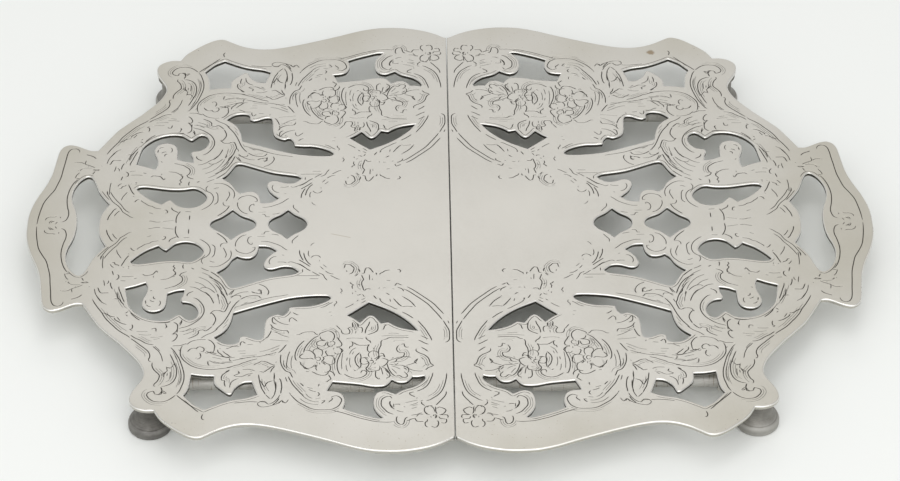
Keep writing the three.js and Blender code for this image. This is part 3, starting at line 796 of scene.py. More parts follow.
    [(396.1, 269.3), (399.4, 269.3), (400.8, 270.7), (399.2, 272.7)],
    [(392.8, 285.4), (395.3, 285.2), (396.7, 283.1), (400.6, 284.6), (403.3, 285.4)],
    [(396.7, 286.6), (400, 287.9), (402.8, 289.3), (403.6, 291.6)],
    [(384.4, 292.4), (387.2, 293.3), (390, 295.2)],
    [(373.3, 294.9), (375, 297.1), (376.9, 299.1)],
    [(364.1, 291.2), (366.1, 288.8), (368.3, 288.5), (371.7, 289.3)],
    [(379.2, 298.2), (381.7, 299.6)],
    [(393.1, 297.9), (396.1, 301.3), (399.4, 304.6), (402.5, 306.6)],
    [(355.8, 301.7), (359.4, 299.3)],
]

SEEN_PLAIN = [
    # Scroll, bud and leaves by the foot.
    [(186, 345), (192, 341), (199, 339.5), (207, 339.5)],
    [(214.8, 348), (213, 352), (210, 352.5), (205, 350.5)],
    [(187.5, 351.5), (190, 349), (194, 348), (198, 349)],
    [(200, 353), (201, 356), (199, 358.5), (195.5, 359)],
    [(205, 350.5), (213, 354), (220, 356), (228, 357.5), (236, 357)],
    [(208, 360), (216, 363), (225, 362.5), (234, 362)],
    [(231, 361), (240, 359), (250, 357), (258, 356.5), (270, 354), (278, 351.5)],
    [(237.5, 370.5), (239.5, 373), (234, 375.5), (241, 376.5), (248, 374), (254, 373)],
    [(265, 394), (268, 397), (271, 399.3)],
    [(274.3, 372), (274, 380), (275.3, 386), (275, 393), (271, 399.5)],
    [(257.5, 403.5), (260, 401.5), (264.5, 401.2), (268, 404), (273, 402.3), (277.5, 398.5),
     (280.3, 394)],
    [(278, 404), (282, 400.5), (285, 403), (289, 399)],
    [(149, 357), (148.5, 360.5), (151.5, 362)],
    [(174, 364.5), (170, 368), (166.5, 367.2), (167.2, 370.8), (163.5, 373.2), (160.5, 375)],
    [(153, 391), (155, 394), (159, 394), (162, 390), (161, 387)],
    [(162, 390), (167, 393.5)],
    # Outer scroll and the bud on its stalk.
    [(210.7, 313.8), (212.3, 311.5), (215.5, 310.2), (220, 310.6)],
    [(250.9, 291.1), (255.5, 292.9), (260, 293.4), (261.4, 290.6), (259.1, 289.3),
     (257.7, 291.3)],
    [(228.2, 295.6), (231.8, 291.5), (237.3, 288.4), (245.5, 284.7), (250.9, 283.8)],
    [(230, 298.4), (235.5, 294.7), (242.7, 292), (250, 291.5)],
    [(272.7, 316.5), (277.3, 321), (283.6, 323.8), (290, 324.7)],
    [(176.4, 316.5), (180, 316.1), (181.8, 319.3), (181.4, 322.9), (179.1, 326.1)],
    [(159.1, 279.7), (168.2, 278.4), (174.5, 274.7), (176.4, 272)],
    [(163.6, 288.8), (171.8, 287)],
    # Petals and leaves of the flower field, and the flower by the seam.
    [(315.3, 363.9), (312.1, 367.1), (307.4, 368.2), (303.5, 367)],
    [(315.8, 356.6), (313.2, 352.4), (313.7, 349.7), (317.9, 348.7), (321.6, 349.7),
     (322.6, 352.9), (321.1, 356.6)],
    [(322.6, 357.6), (326.8, 355.7), (332.1, 356), (334.7, 358.7), (334.2, 362.9),
     (331.1, 364.5), (325.8, 362.9), (322.6, 360.3)],
    [(317.6, 363.9), (315.8, 368.2), (317.4, 371.3)],
    [(321.6, 361.8), (325, 364.2), (328, 364)],
    [(316, 358.7), (316.8, 357.2), (318.4, 356.8), (320.2, 357.6), (320.5, 359.2),
     (319.2, 360.5), (317.3, 360.4), (316, 358.9)],
    [(335.3, 347.6), (339.5, 347.6), (341.6, 350.3), (340.5, 353.4), (336.3, 353.9),
     (333.7, 351.8)],
    [(329.5, 343.5), (330.5, 341.5), (333, 341), (335, 342.5), (334.5, 344.5), (332, 345.2),
     (329.8, 344)],
    [(368.4, 361.3), (364.7, 357.6), (361.1, 358.2), (360, 361.3), (362.1, 363.9),
     (366.3, 363.9), (368.9, 362.4)],
    [(369.5, 357.6), (368.4, 353.9), (372.1, 350.8), (377.4, 351.8), (378.9, 355),
     (376.8, 357.6), (373.2, 359.2)],
    [(369.6, 361.5), (370.4, 360.2), (372, 360), (373.4, 361), (373.2, 362.6), (371.6, 363.2),
     (369.9, 362.4)],
    [(378.4, 359.7), (379.5, 356.6), (382.6, 355.5), (385.8, 357.6)],
    [(387.4, 361.3), (394.2, 358.7), (401.6, 356.6), (407.9, 356.6), (412.1, 357.6)],
    [(387.6, 363.5), (395.3, 365), (401.6, 365), (406.8, 367.1), (408.9, 370.3), (406.8, 373.4)],
    [(404.7, 365.5), (411.1, 364), (415.8, 361.8), (417.9, 358.2)],
    [(405.8, 367.1), (410, 369), (414.2, 370.3), (420.5, 370.8), (424, 370.4)],
    [(431.6, 414.5), (426.8, 413.9), (424.2, 410.3), (425.8, 406.6), (430, 405.5),
     (433.7, 408.2), (434.7, 412.4)],
    [(432.8, 416.2), (433.6, 414.7), (435.2, 414.3), (436.8, 415.4), (436.6, 417.2), (435, 418),
     (433.2, 417.4)],
    [(424.7, 414.5), (419.5, 413.9), (415.8, 417)],
    # Veins and folds over the whole quarter.
    [(295, 334.5), (299, 334.5), (303, 332.5), (310, 331.5), (314, 332), (316, 334), (319, 335)],
    [(335, 330), (336, 331.5), (337, 333)],
    [(334, 347), (333.5, 350)],
    [(304, 366), (306, 368), (309, 369.5)],
    [(316, 361), (318, 364)],
    [(319, 362), (320, 365)],
    [(323, 361), (325, 365)],
    [(347.5, 357), (346.5, 361)],
    [(371, 357), (372, 360)],
    [(370, 360), (374, 361)],
    [(371, 363.5), (374, 364), (376, 362)],
    [(381, 367), (382, 371), (383, 375)],
    [(384.5, 368.5), (387, 371.5), (389.5, 374)],
    [(391, 359), (393, 357.5), (395, 357)],
    [(394, 363), (396, 364.5), (399, 362)],
    [(420, 335), (424, 337), (429, 339)],
    [(447.5, 320), (449.5, 324)],
    [(336, 325), (339, 328), (341, 330)],
    [(241, 369.5), (250, 369.3), (254, 370.5), (256, 371)],
    [(249, 371.5), (253, 371.5)],
    [(290, 351), (288, 356), (287, 361), (286.5, 366), (287, 369)],
    [(285.5, 376.5), (286, 379), (287.5, 382.5)],
    [(289, 392), (291, 395)],
    [(238.5, 371), (238.3, 373.5)],
    [(233, 375.5), (235, 375), (237, 374)],
    [(229.3, 387), (231, 382.5), (235, 379.5), (240, 378)],
    [(247, 376.5), (250, 375), (252, 374)],
    [(225, 349), (230, 347.5), (232.5, 346.3), (240.5, 346.2)],
    [(246.5, 344.5), (252, 344), (255, 343.5)],
    [(230, 357.5), (229.5, 360), (232, 361.5)],
    [(152.3, 345.8), (156, 349), (158.5, 351.2), (161.2, 355.8), (162.7, 362)],
    [(170.2, 371), (170.2, 375), (169.6, 379)],
    [(167.5, 372.5), (166.7, 376.5)],
    [(164, 374.5), (163, 378)],
    [(222, 350.5), (225, 353), (229, 356)],
    [(217.8, 348.5), (222, 348.5)],
    [(200.4, 338.5), (206, 335), (213, 332), (218.5, 328)],
    [(231.5, 382), (230, 385), (229.5, 388)],
    [(195.4, 359), (196, 357.8), (198, 357.3)],
    [(166, 325), (167, 327), (165, 328.5)],
    [(393.5, 403), (394, 408)],
    [(307.5, 389), (313, 391), (317, 391.7)],
    [(395.5, 409.5), (400, 411.4), (405, 411.8)],
    [(419.3, 397.5), (417.1, 397.5), (416.4, 399.3)],
    [(410, 415.4), (414.3, 414.6), (417.1, 414.3), (419.3, 413.2), (423.6, 412.5)],
    [(433, 414), (434.5, 416.5)],
    [(430.5, 415.5), (431.5, 418)],
    [(436, 414.5), (435.3, 418.5)],
    [(216.3, 294.2), (218, 294.6), (218.8, 297.5)],
    [(227.6, 301.3), (230.5, 301.3), (228, 305)],
    [(229.7, 296.7), (234.7, 295.4), (240, 295.4), (240.9, 297.9)],
    [(250.5, 291.3), (254.7, 292.9), (258.8, 292.5)],
    [(239.7, 305.4), (246.3, 303.3), (253, 302.1), (261.3, 299.6), (268, 297.9), (276.3, 296.3),
     (283, 295.4), (289.7, 294.2)],
    [(275, 314.6), (277.6, 317.1), (280.1, 319.2)],
    [(289.3, 322.5), (289.7, 318.8), (291.8, 317.5), (294.7, 319.2), (298, 321.7)],
    [(94.3, 288.1), (95.1, 292.7), (96.6, 295.8), (99.7, 299.6), (102.8, 303.5)],
    [(116.6, 316.5), (118.5, 318.8), (120.5, 321.2)],
    [(164.3, 322.7), (165.8, 324.2), (166.2, 327.3), (164.7, 329)],
    [(145.8, 304.2), (148.2, 306.2), (152, 306.5)],
    [(158.2, 300.4), (160.1, 301.2), (160.1, 304.2), (158.2, 306.2)],
    [(153.5, 275.4), (153.5, 278.1)],
    [(172.4, 277.3), (175.5, 275.4)],
    [(120.5, 276.2), (128.2, 276.4), (135, 275.8)],
    [(132.8, 278.8), (138.2, 277.7)],
    [(118.9, 280.4), (126.6, 280.8)],
    [(131.2, 265.4), (138.2, 265.5), (144.3, 265)],
    [(128.5, 265.4), (128.8, 268.1)],
    [(110.1, 263.8), (111.2, 265.8), (114.3, 268.1)],
    [(121.6, 266.9), (125.1, 267.3)],
    [(103.5, 255), (102.8, 259.6), (102.4, 265), (102.8, 268.8)],
    [(103.5, 279.6), (104.3, 283.5), (104.3, 286.5)],
    [(108.5, 280), (108.5, 282.3), (106.2, 284.2)],
    [(112.2, 233.1), (114.3, 236.5), (117.4, 239.4)],
    [(132.8, 231.5), (128.9, 232.7), (125.1, 235), (120.5, 237.7), (117.4, 241.5),
     (114.3, 244.2), (108.5, 248.1), (104.3, 252.7), (101.6, 256.2), (100.5, 260.4)],
    [(128.2, 236.5), (124.3, 238.5), (120.8, 241.2), (117.4, 245), (112.4, 249.2),
     (107.4, 254.2), (103.5, 259.2)],
    [(181.6, 237.5), (186.6, 237.5), (190.5, 236.9)],
    [(159.7, 240.5), (155.8, 240.9), (152, 241.7), (148.9, 243.3), (145.1, 244.2),
     (141.2, 246.5), (138.2, 248.1), (136.6, 250)],
    [(147, 228.5), (150.8, 228.3), (155.8, 227.3), (161.2, 227.5)],
    [(116.5, 249.2), (117.5, 253.1), (119.7, 256.2), (121.6, 258.8)],
    [(127.4, 253.1), (129.7, 254.5)],
    [(198.8, 238.7), (203.8, 241.2), (208, 244.5), (210.1, 248.7), (209.5, 253.3),
     (206.3, 256.6), (202.6, 258.3), (201.3, 261.2), (203.4, 264.5)],
    [(211.3, 244.1), (214.7, 246.6), (214.8, 251.2), (213.8, 255.3), (211.3, 257.8)],
    [(220.5, 247.4), (220.9, 244.5), (223.8, 242.8), (227.6, 243.5)],
    [(223, 247), (225.1, 251.2), (226.3, 254.5), (224.7, 258.3)],
    [(230.5, 249.9), (231.3, 254.1), (229.7, 258.7), (225.5, 262.4), (221.3, 264.9),
     (215.5, 266.6), (208, 266.3)],
    [(208.4, 260.3), (212.2, 261.8), (215.5, 262)],
    [(200.5, 267.4), (204.7, 269.5), (209.7, 271.2)],
    [(215.5, 284.1), (218.8, 287.8), (222.2, 292.4), (225.5, 297.8)],
    [(188, 286.6), (193, 287), (198, 288.7), (201.3, 290.8), (206.3, 293.3), (209.7, 296.6)],
    [(199.7, 289.1), (202.6, 287.4), (207.2, 287.8), (211.3, 289.9), (215.5, 293.3)],
    [(235.5, 247), (235.5, 243.3), (238, 239.1), (242.2, 235.8), (247.6, 234.3)],
    [(253, 236.2), (249.3, 237), (247.6, 239.9), (248.8, 243.3), (251.8, 244.5), (252.2, 242)],
    [(235.1, 248.3), (237.2, 251.2), (241.3, 252.8), (246.3, 253.5), (251.3, 252),
     (254.7, 249.5), (254.7, 247), (251.3, 247.7)],
    [(259.7, 241.2), (267.2, 241.4), (274.7, 243.5), (280.5, 245.8), (284.7, 248.7),
     (288, 250.5)],
    [(259.7, 233.8), (263.8, 233.8), (265.1, 231.8), (270.5, 231.3)],
    [(270.5, 233.8), (278, 234.9), (283.8, 237.8), (288.4, 242)],
    [(292.6, 244.1), (292.2, 240.8), (295.5, 237.8), (298.8, 234.9)],
    [(277.6, 256.3), (273.8, 256.6), (270.5, 258.7), (269, 262), (270.5, 264.9)],
    [(276.3, 262), (282.2, 261.8), (287.2, 262.8)],
    [(287.2, 262.8), (290.5, 261.6), (295.5, 263), (300.5, 264.9), (304.7, 267.4)],
    [(281, 254.5), (285, 255.5)],
    [(257, 282.4), (259.7, 284.3), (263.8, 285.8), (267.2, 288.7), (268.7, 292), (267.2, 295.3)],
    [(230.1, 295.3), (234.7, 289.9), (241.3, 286.2)],
    [(302.5, 268.5), (302.5, 272.7)],
    [(308.7, 250), (308.3, 254.6), (309.8, 256.9)],
    [(310.6, 258.1), (312.9, 256), (316, 255.2), (319.1, 256), (321, 258.1)],
    [(311.4, 271.2), (316, 273.8), (320.6, 276.2)],
    [(319.8, 265.8), (322.5, 268.5), (324.5, 270)],
    [(324.5, 270.4), (329.1, 273.1), (334.5, 274.2)],
    [(317.5, 272.3), (322.9, 274.6), (324.5, 277.3), (327.5, 280.8)],
    [(329.1, 275), (332.9, 276.5), (336.8, 278.5), (340.6, 279.6)],
    [(296, 275.5), (307, 275.5), (319, 275.5)],
    [(308.3, 278.5), (319.8, 278.5)],
    [(379.1, 297.7), (381.4, 301.5), (386.8, 304.6), (390.6, 306.2), (395.2, 308.5),
     (398.3, 309.2)],
    [(393.3, 298.1), (396, 301.2), (399.8, 304.6)],
    [(319.8, 307.7), (325.2, 306.2), (329.8, 303.5), (333.7, 301.9)],
    [(334.5, 306.9), (334.5, 304.6), (336.8, 302.7), (335.6, 300.4)],
    [(344.5, 308.1), (349.8, 305.8), (354.5, 303.1)],
    [(354.5, 276.9), (357.5, 274.2), (359.5, 273.1)],
    [(369.3, 274), (369.7, 280.5)],
    [(372.5, 277.7), (372.2, 280.4)],
    [(357.2, 288.8), (360, 288.5), (360.3, 290.4)],
    [(376.4, 288.5), (379.4, 288.2), (379.3, 286.3)],
    [(381.7, 287.6), (385, 287.6), (387.2, 287.4)],
    [(385.2, 280), (391.4, 280.6)],
    [(391.1, 287.7), (393.3, 288.8), (395.8, 288.8)],
    [(359.4, 299.3), (362.2, 299.3), (366.1, 297.4)],
    [(360.6, 303.5), (363.9, 301.6), (366.7, 299.9)],
    [(389.7, 298.2), (390.6, 302.1)],
    [(340.2, 287.7), (342.2, 291.2), (340.6, 292.3), (341.8, 294.2)],
    [(362.2, 293.8), (364.8, 297.3)],
]

SEEN_LIGHT = [
    [(233.6, 307.5), (242.7, 305.2), (251.8, 302.9), (262.7, 299.3)],
    [(274.5, 331), (281, 334.7), (290, 337.5)],
    [(268.2, 339.3), (277.3, 340.2), (290, 341)],
    [(193.6, 281.5), (200.9, 283.8), (207.3, 288.4)],
    [(197.3, 276.5), (206.4, 280.2), (213.6, 286.5), (217.3, 292.9)],
    [(200.9, 272), (209.1, 275.6), (217.3, 282.9), (221.8, 290.2)],
    [(217, 294), (219, 300), (219.5, 304.7)],
    [(389, 362.6), (396, 361.5), (404, 360.8)],
    [(390, 365.5), (396, 367), (401, 369.5)],
    [(357, 347), (352, 350), (349, 355)],
    [(354, 351), (352, 355)],
    [(345, 339), (350, 338), (358, 338), (365, 339)],
    [(387, 333.5), (392, 333), (400, 333.5)],
    [(392, 341.5), (396, 341)],
    [(391, 368), (395, 371.5), (397, 374)],
    [(380, 336), (386, 335.5), (392, 335), (400, 335.3), (410, 335.5)],
    [(343, 352), (342, 358), (341.5, 364), (342, 370)],
    [(346, 364), (346.5, 369), (348, 372)],
    [(350, 357), (349.5, 363), (351, 368)],
    [(373, 347), (374, 350)],
    [(356, 330), (355.5, 334)],
    [(372, 326), (371, 330)],
    [(421, 357), (424, 360)],
    [(258, 351.5), (263, 351), (268, 349.8), (273, 348), (278, 346), (281, 345)],
    [(270, 352), (275, 350), (280, 347.5)],
    [(236, 351), (247, 350.5)],
    [(238, 353.5), (247, 353.5)],
    [(264, 354), (272, 355), (277, 354)],
    [(266, 368), (270, 366)],
    [(275.5, 363.5), (276.5, 361)],
    [(154, 345.5), (158, 349), (160.5, 352)],
    [(181, 332), (187, 330), (192, 327.5)],
    [(182, 335), (190, 332.5), (196, 329.5)],
    [(306, 386.5), (310, 388), (314, 388.5)],
    [(305, 393), (309, 397), (313, 398.5)],
    [(299, 398), (306, 402.5), (313, 404), (320, 404.5)],
    [(301, 394), (307, 399), (314, 401.5), (320, 401.5)],
    [(314, 399), (322, 397.5)],
    [(240, 356), (250, 355.5), (258, 354.5)],
    [(238, 358.5), (248, 357.5), (256, 356)],
    [(284, 359), (283.5, 364), (285, 368)],
    [(292.5, 355), (291, 362), (291.5, 369)],
    [(220, 362), (227, 361.5), (233, 360.5)],
    [(211, 357), (217, 358), (223, 359.5)],
    [(212, 361), (218, 362.5), (226, 364)],
    [(178, 349), (181, 352)],
    [(172, 350), (176, 357), (178.5, 364), (180.5, 372), (180.5, 379), (178, 386)],
    [(403.6, 402.9), (409.3, 401.8), (415, 400.4), (419, 400)],
    [(408.6, 405.4), (415, 403.6), (419.3, 401.8)],
    [(410.7, 406), (415.7, 405), (419.3, 404.3)],
    [(410, 409), (415, 407.5), (418, 406.5)],
    [(178, 331.4), (184.7, 330.8), (190.5, 329.6), (197.2, 328.3)],
    [(243, 303.3), (249, 301.8)],
    [(95.8, 295), (100.5, 301.2), (107.4, 305)],
    [(135, 331.2), (141.2, 331.5), (148.9, 331.2)],
    [(148.9, 337.3), (157.4, 336.9), (164.3, 335.8)],
    [(152, 339.6), (161.2, 338.1)],
    [(101.2, 255), (100.1, 259.6)],
    [(137, 334), (146, 335), (153, 334.3)],
    [(161.2, 227.5), (168.9, 228.5), (174.3, 229.2)],
    [(145.8, 236.9), (149.3, 236.2), (152, 235)],
    [(255.5, 236.2), (266.3, 236.3)],
    [(310.2, 246.5), (312.2, 243.8), (315.6, 242.3)],
    [(319.5, 259.2), (319.3, 261.9)],
    [(322.5, 264.2), (324.8, 265.8), (327.2, 267.7)],
    [(329.1, 316.2), (333.7, 315)],
    [(327.5, 312.3), (332.9, 311.5)],
]

# Single round pricks, in millimetres like the first three lists.
PITS = [(103.1, 111.7), (14.1, 48.8), (15.9, 45.9), (18.8, 42.9), (149, 38.5), (147.4, 33.4),
        (138.3, 36.3), (143.5, 36)]
PIT_REACH = 0.34
PIT_LEAN = 0.05


def pit(x, y):
    """A prick as a very short cut."""
    return [(x - PIT_REACH, y - PIT_LEAN), (x, y), (x + PIT_REACH, y + PIT_LEAN)]


def on_plate(cuts):
    """Cuts in picture points, moved to millimetres out from the seam and the long axis."""
    right, up, ahead = camera_axes()
    placed = []
    for cut in cuts:
        spots = []
        for x, y in cut:
            ray = (ahead * FOCAL_PIXELS + right * (x - PHOTO_WIDTH / 2)
                   + up * (PHOTO_HEIGHT / 2 - y))
            spot = CAMERA_SPOT + ray * (PLATE_TOP * MM - CAMERA_SPOT.z) / ray.z
            spots.append((-spot.x / MM, -spot.y / MM))
        placed.append(spots)
    return placed


# Long deep cuts get fine lines beside them: each line's distance from the cut, and the shares of
# the cut's length where it starts and ends.
SHADED_LENGTH = 8.5
SHADED_STEP = 1.1
SHADING = ((0.95, 0.18, 0.8), (1.8, 0.3, 0.9))


def shading(cut):
    """Fine lines in the hollow of a long curved cut."""
    line = np.array(smooth_run([np.array(p, float) for p in cut], SHADED_STEP))
    if np.linalg.norm(np.diff(line, axis=0), axis=1).sum() < SHADED_LENGTH:
        return []
    ahead, aside = directions(line)
    bend = ahead[0, 0] * ahead[-1, 1] - ahead[0, 1] * ahead[-1, 0]
    hollow = 1 if bend > 0 else -1
    beside = []
    for away, start, end in SHADING:
        part = slice(round(start * len(line)), round(end * len(line)) + 1)
        beside.append([tuple(p) for p in (line + hollow * away * aside)[part]])
    return beside


def directions(line):
    """Unit steps along a line of points, and the same turned to its left."""
    ahead = np.gradient(line, axis=0)
    ahead /= np.linalg.norm(ahead, axis=1, keepdims=True)
    return ahead, np.stack([-ahead[:, 1], ahead[:, 0]], 1)


# The full width and the depth of each kind of cut.
DEEP_SIZE = (0.5, 0.18)
PLAIN_SIZE = (0.4, 0.14)
LIGHT_SIZE = (0.32, 0.1)
SHADE_SIZE = (0.26, 0.07)
BORDER_SIZE = (0.34, 0.13)

DEEP_CUTS = on_plate(SEEN_DEEP)
CUTS = [(cut, *DEEP_SIZE) for cut in [*BOLD_CUTS, *DEEP_CUTS, *(pit(*spot) for spot in PITS)]]
CUTS += [(cut, *PLAIN_SIZE) for cut in [*PLAIN_CUTS, *on_plate(SEEN_PLAIN)]]
CUTS += [(cut, *LIGHT_SIZE) for cut in [*FINE_CUTS, *on_plate(SEEN_LIGHT)]]
CUTS += [(line, *SHADE_SIZE) for cut in DEEP_CUTS for line in shading(cut)]

CUT_STEP = 0.8
# The least room between a cut and an edge.
CUT_MARGIN = 0.12


def tapered(stroke, width, depth):
    """A cut's middle line, half widths and depths, swelling from fine and shallow ends."""
    points = smooth_run([np.array(p, float) for p in stroke], CUT_STEP)
    points.append(np.array(stroke[-1], float))
    share = np.linspace(0, 1, len(points))
    swell = np.clip(np.sin(share * math.pi) * 4, 0, 1)
    return np.array(points), width / 2 * (0.5 + 0.5 * swell), depth * (0.6 + 0.4 * swell)


def open_runs(points, widths, depths, clear):
    """The stretches of a cut, three points or longer, that stay clear of the plate's edges."""
    runs, current = [], []
    for i, ok in enumerate(clear):
        if ok:
            current.append(i)
        if (not ok or i == len(clear) - 1) and current:
            if len(current) > 2:
                runs.append((points[current], widths[current], depths[current]))
            current = []
    return runs


# ---------------------------------------------------------------- half plates

# Millimetres between points along an edge, the radius of its rounding by rim, opening and seam,
# and how far the rounding falls for its width.
EDGE_STEP = 0.9
RIM_ROUNDING = 0.45
HOLE_ROUNDING = 0.42
SEAM_ROUNDING = 0.1
SEAM_REACH = 0.3
ROUNDING_FALL = 0.8
ROUNDING_TURNS = [math.radians(a) for a in (30, 60, 90)]
# How far down the sawn wall and the lower bevel begin, and how far in the bevel runs.
WALL_TOP = 0.55
BEVEL_TOP = 1.2
UNDER_BEVEL = 0.5
# How dark the sawn walls and the rim's wall are made, and the painted shade on the lip by the seam.
WALL_DARKENING = 0.62
RIM_WALL_DARKENING = 0.22
SEAM_PAINTED_SHADE = 0.6
# Openings at least this long round have a line cut beside them, this far from the edge.
BORDERED_LENGTH = 60
BORDER_AWAY = 1.15
# It has to lean away from the long axis by this share, and to have more points than this.
BORDER_LEAN = 0.4
BORDER_LEAST = 8
# A cut's slopes end a little inside its width. Hollows below the least depth are left flat, and
# cuts are fully dark from the dark depth on.
EDGE_SURPLUS = 1.08
LEAST_DEPTH = 0.004
DARK_DEPTH = 0.12
# Points nearer than this count as one.
MERGE_REACH = 1e-5


def edge_borders(loop):
    """Lines cut beside an opening, where the metal lies on its side away from the long axis."""
    line = inset(loop, np.full(len(loop), BORDER_AWAY))
    shift = line - loop
    outer = shift[:, 1] * np.sign(loop[:, 1]) > BORDER_LEAN * np.linalg.norm(shift, axis=1)
    if outer.all() or not outer.any():
        return []
    first = int(np.flatnonzero(~outer)[0])
    line, outer = np.roll(line, -first, 0), np.roll(outer, -first)
    runs, run = [], []
    for spot, keep in zip(line, [*outer[1:], False]):
        if keep:
            run.append(tuple(spot))
        elif run:
            runs.append(run)
            run = []
    return [run[::2] for run in runs if len(run) > BORDER_LEAST]


def placed_cuts(loops, flat, rim):
    """The cuts on both quarters of a half plate, where they stay clear of its edges."""
    brink = kdtree.KDTree(sum(map(len, flat)))
    for spot in np.concatenate(flat):
        brink.insert((*spot, 0.0), 0)
    brink.balance()
    wanted = [(*cut, (1, -1)) for cut in CUTS]
    for i, loop in enumerate(loops):
        if i != rim and len(loop) * EDGE_STEP > BORDERED_LENGTH:
            wanted += [(line, *BORDER_SIZE, (1,)) for line in edge_borders(loop)]
    cuts = []
    for stroke, width, depth, sides in wanted:
        line, widths, depths = tapered(stroke, width, depth)
        for side in sides:
            points = line * (1, side)
            away = np.array([brink.find((*p, 0.0))[2] for p in points])
            clear = inside(points, flat) & (away > widths + CUT_MARGIN + EDGE_STEP / 3)
            cuts += open_runs(points, widths, depths, clear)
    return cuts


def groove_depths(at, cuts):
    """How far each point lies below the plate's top, in the deepest cut over it."""
    depth = np.zeros(len(at))
    for points, widths, depths in cuts:
        a, b = points[:-1], points[1:]
        reach = widths.max() + 0.02
        low, high = points.min(0) - reach, points.max(0) + reach
        near = np.flatnonzero(((at >= low) & (at <= high)).all(1))
        if not len(near):
            continue
        p = at[near][:, None, :]
        along = b - a
        share = ((p - a) * along).sum(2) / np.maximum((along * along).sum(1), 1e-12)
        share = np.clip(share, 0, 1)
        gap = np.linalg.norm(p - (a + along * share[..., None]), axis=2)
        wide = widths[:-1] + (widths[1:] - widths[:-1]) * share
        deep = depths[:-1] + (depths[1:] - depths[:-1]) * share
        cut = (deep * np.clip(1 - gap / wide * EDGE_SURPLUS, 0, 1)).max(1)
        depth[near] = np.maximum(depth[near], cut)
    depth[depth < LEAST_DEPTH] = 0
    return depth


def joined(ring):
    """Each point of a ring with the next one round."""
    return list(zip(ring, ring[1:] + ring[:1]))


def filled(spots, links, outlines):
    """Flat faces between the spots that keep the links and lie inside the outlines.

    Gives the places of their points, the faces, and the spots that each point stands for.
    """
    out = delaunay_2d_cdt([Vector(p) for p in spots], links, [], 0, MERGE_REACH, True)
    at = np.array([tuple(p) for p in out[0]])
    faces = np.array(list(out[2]))
    return at, faces[inside(at[faces].mean(1), outlines)], out[3]


def linked(outlines):
    """Outlines as one list of spots, with their links and each outline's own spots."""
    spots, links, rings = [], [], []
    for outline in outlines:
        rings.append(list(range(len(spots), len(spots) + len(outline))))
        spots += [tuple(p) for p in outline]
        links += joined(rings[-1])
    return spots, links, rings


def engraved_top(flat, cuts):
    """The top face inside the rounded edges: places, depths, faces and the points of each edge."""
    spots, links, rings = linked(flat)
    pointed = []
    for points, widths, depths in cuts:
        aside = directions(points)[1] * widths[:, None]
        depths = depths.copy()
        depths[[0, -1]] = 0
        pointed.append((points, widths, depths))
        middle = list(range(len(spots), len(spots) + len(points)))
        spots += [tuple(p) for p in points]
        lanes = [middle]
        for edge in (points + aside, points - aside):
            lanes.append([middle[0], *range(len(spots), len(spots) + len(edge) - 2), middle[-1]])
            spots += [tuple(p) for p in edge[1:-1]]
        for lane in lanes:
            links += list(zip(lane, lane[1:]))
    at, faces, sources = filled(spots, links, flat)
    depth = groove_depths(at, pointed)
    uncut = groove_depths(at[faces].mean(1), pointed) == 0
    depth[faces[uncut].ravel()] = 0
    found = {source: i for i, group in enumerate(sources) for source in group}
    return at, depth, faces, [[found[i] for i in ring] for ring in rings]


def edge_levels(loop, size):
    """Down an edge: places, height, edge mark and darkening of its rounding, wall and lower bevel.
    """
    sawn = np.where(size == RIM_ROUNDING, RIM_WALL_DARKENING, WALL_DARKENING)
    # The lip by the seam is darkened as painted shade in the gap between the halves.
    lip = np.where(size == SEAM_ROUNDING, SEAM_PAINTED_SHADE, 0)
    levels = []
    # Each rounding ring gets the edge mark 1: wear with a painted highlight.
    for turn in ROUNDING_TURNS:
        drop = size * (1 - math.cos(turn)) * ROUNDING_FALL
        levels.append((inset(loop, size * (1 - math.sin(turn))), PLATE_TOP - drop, 1.0, lip))
    # The wall is made darkest just below the rounding and nearly clean at the lower bevel.
    levels.append((loop, PLATE_TOP - WALL_TOP, 0.0, sawn))
    levels.append((loop, PLATE_TOP - BEVEL_TOP, 0.0, sawn * 0.9))
    last = inset(loop, np.where(size == SEAM_ROUNDING, SEAM_ROUNDING, UNDER_BEVEL))
    levels.append((last, PLATE_UNDERSIDE, 0.3, sawn * 0.1))
    return levels


def underside(outlines, rings):
    """Faces between the edges' lowest rings of points."""
    spots, links, _ = linked(outlines)
    _, faces, sources = filled(spots, links, outlines)
    lowest = [i for ring in rings for i in ring]
    return [tuple(lowest[sources[i][0]] for i in reversed(face)) for face in faces]


def plate_form():
    """Points, faces and marks of the right half plate, with its edges rounded and its cuts."""
    loops = [smooth_loop(loop, EDGE_STEP) for loop in cad_loops("right_plate")]
    rim = max(range(len(loops)), key=lambda i: np.ptp(loops[i][:, 0]))
    sizes = [np.full(len(loop), HOLE_ROUNDING) for loop in loops]
    by_seam = loops[rim][:, 0] < SEAM + SEAM_REACH
    sizes[rim] = np.where(by_seam, SEAM_ROUNDING, RIM_ROUNDING)
    flat = [inset(loop, size) for loop, size in zip(loops, sizes)]
    at, depth, faces, rings = engraved_top(flat, placed_cuts(loops, flat, rim))
    points = [(x, y, PLATE_TOP - d) for (x, y), d in zip(at, depth)]
    patina_and_shade = list(np.clip(depth / DARK_DEPTH, 0, 1))
    edge = [0.0] * len(points)
    polygons = [tuple(f) for f in faces]
    outlines, lowest = [], []
    for loop, size, above in zip(loops, sizes, rings):
        for place, height, wear_and_highlight, edge_darkening in edge_levels(loop, size):
            below = list(range(len(points), len(points) + len(place)))
            points += zip(place[:, 0], place[:, 1], np.broadcast_to(height, len(place)))
            patina_and_shade += list(edge_darkening)
            edge += [wear_and_highlight] * len(place)
            polygons += [(a, b, c, d) for (a, d), (b, c) in zip(joined(above), joined(below))]
            above = below
        outlines.append(place)
        lowest.append(above)
    return points, polygons + underside(outlines, lowest), {"patina_and_shade": patina_and_shade, "edge": edge}


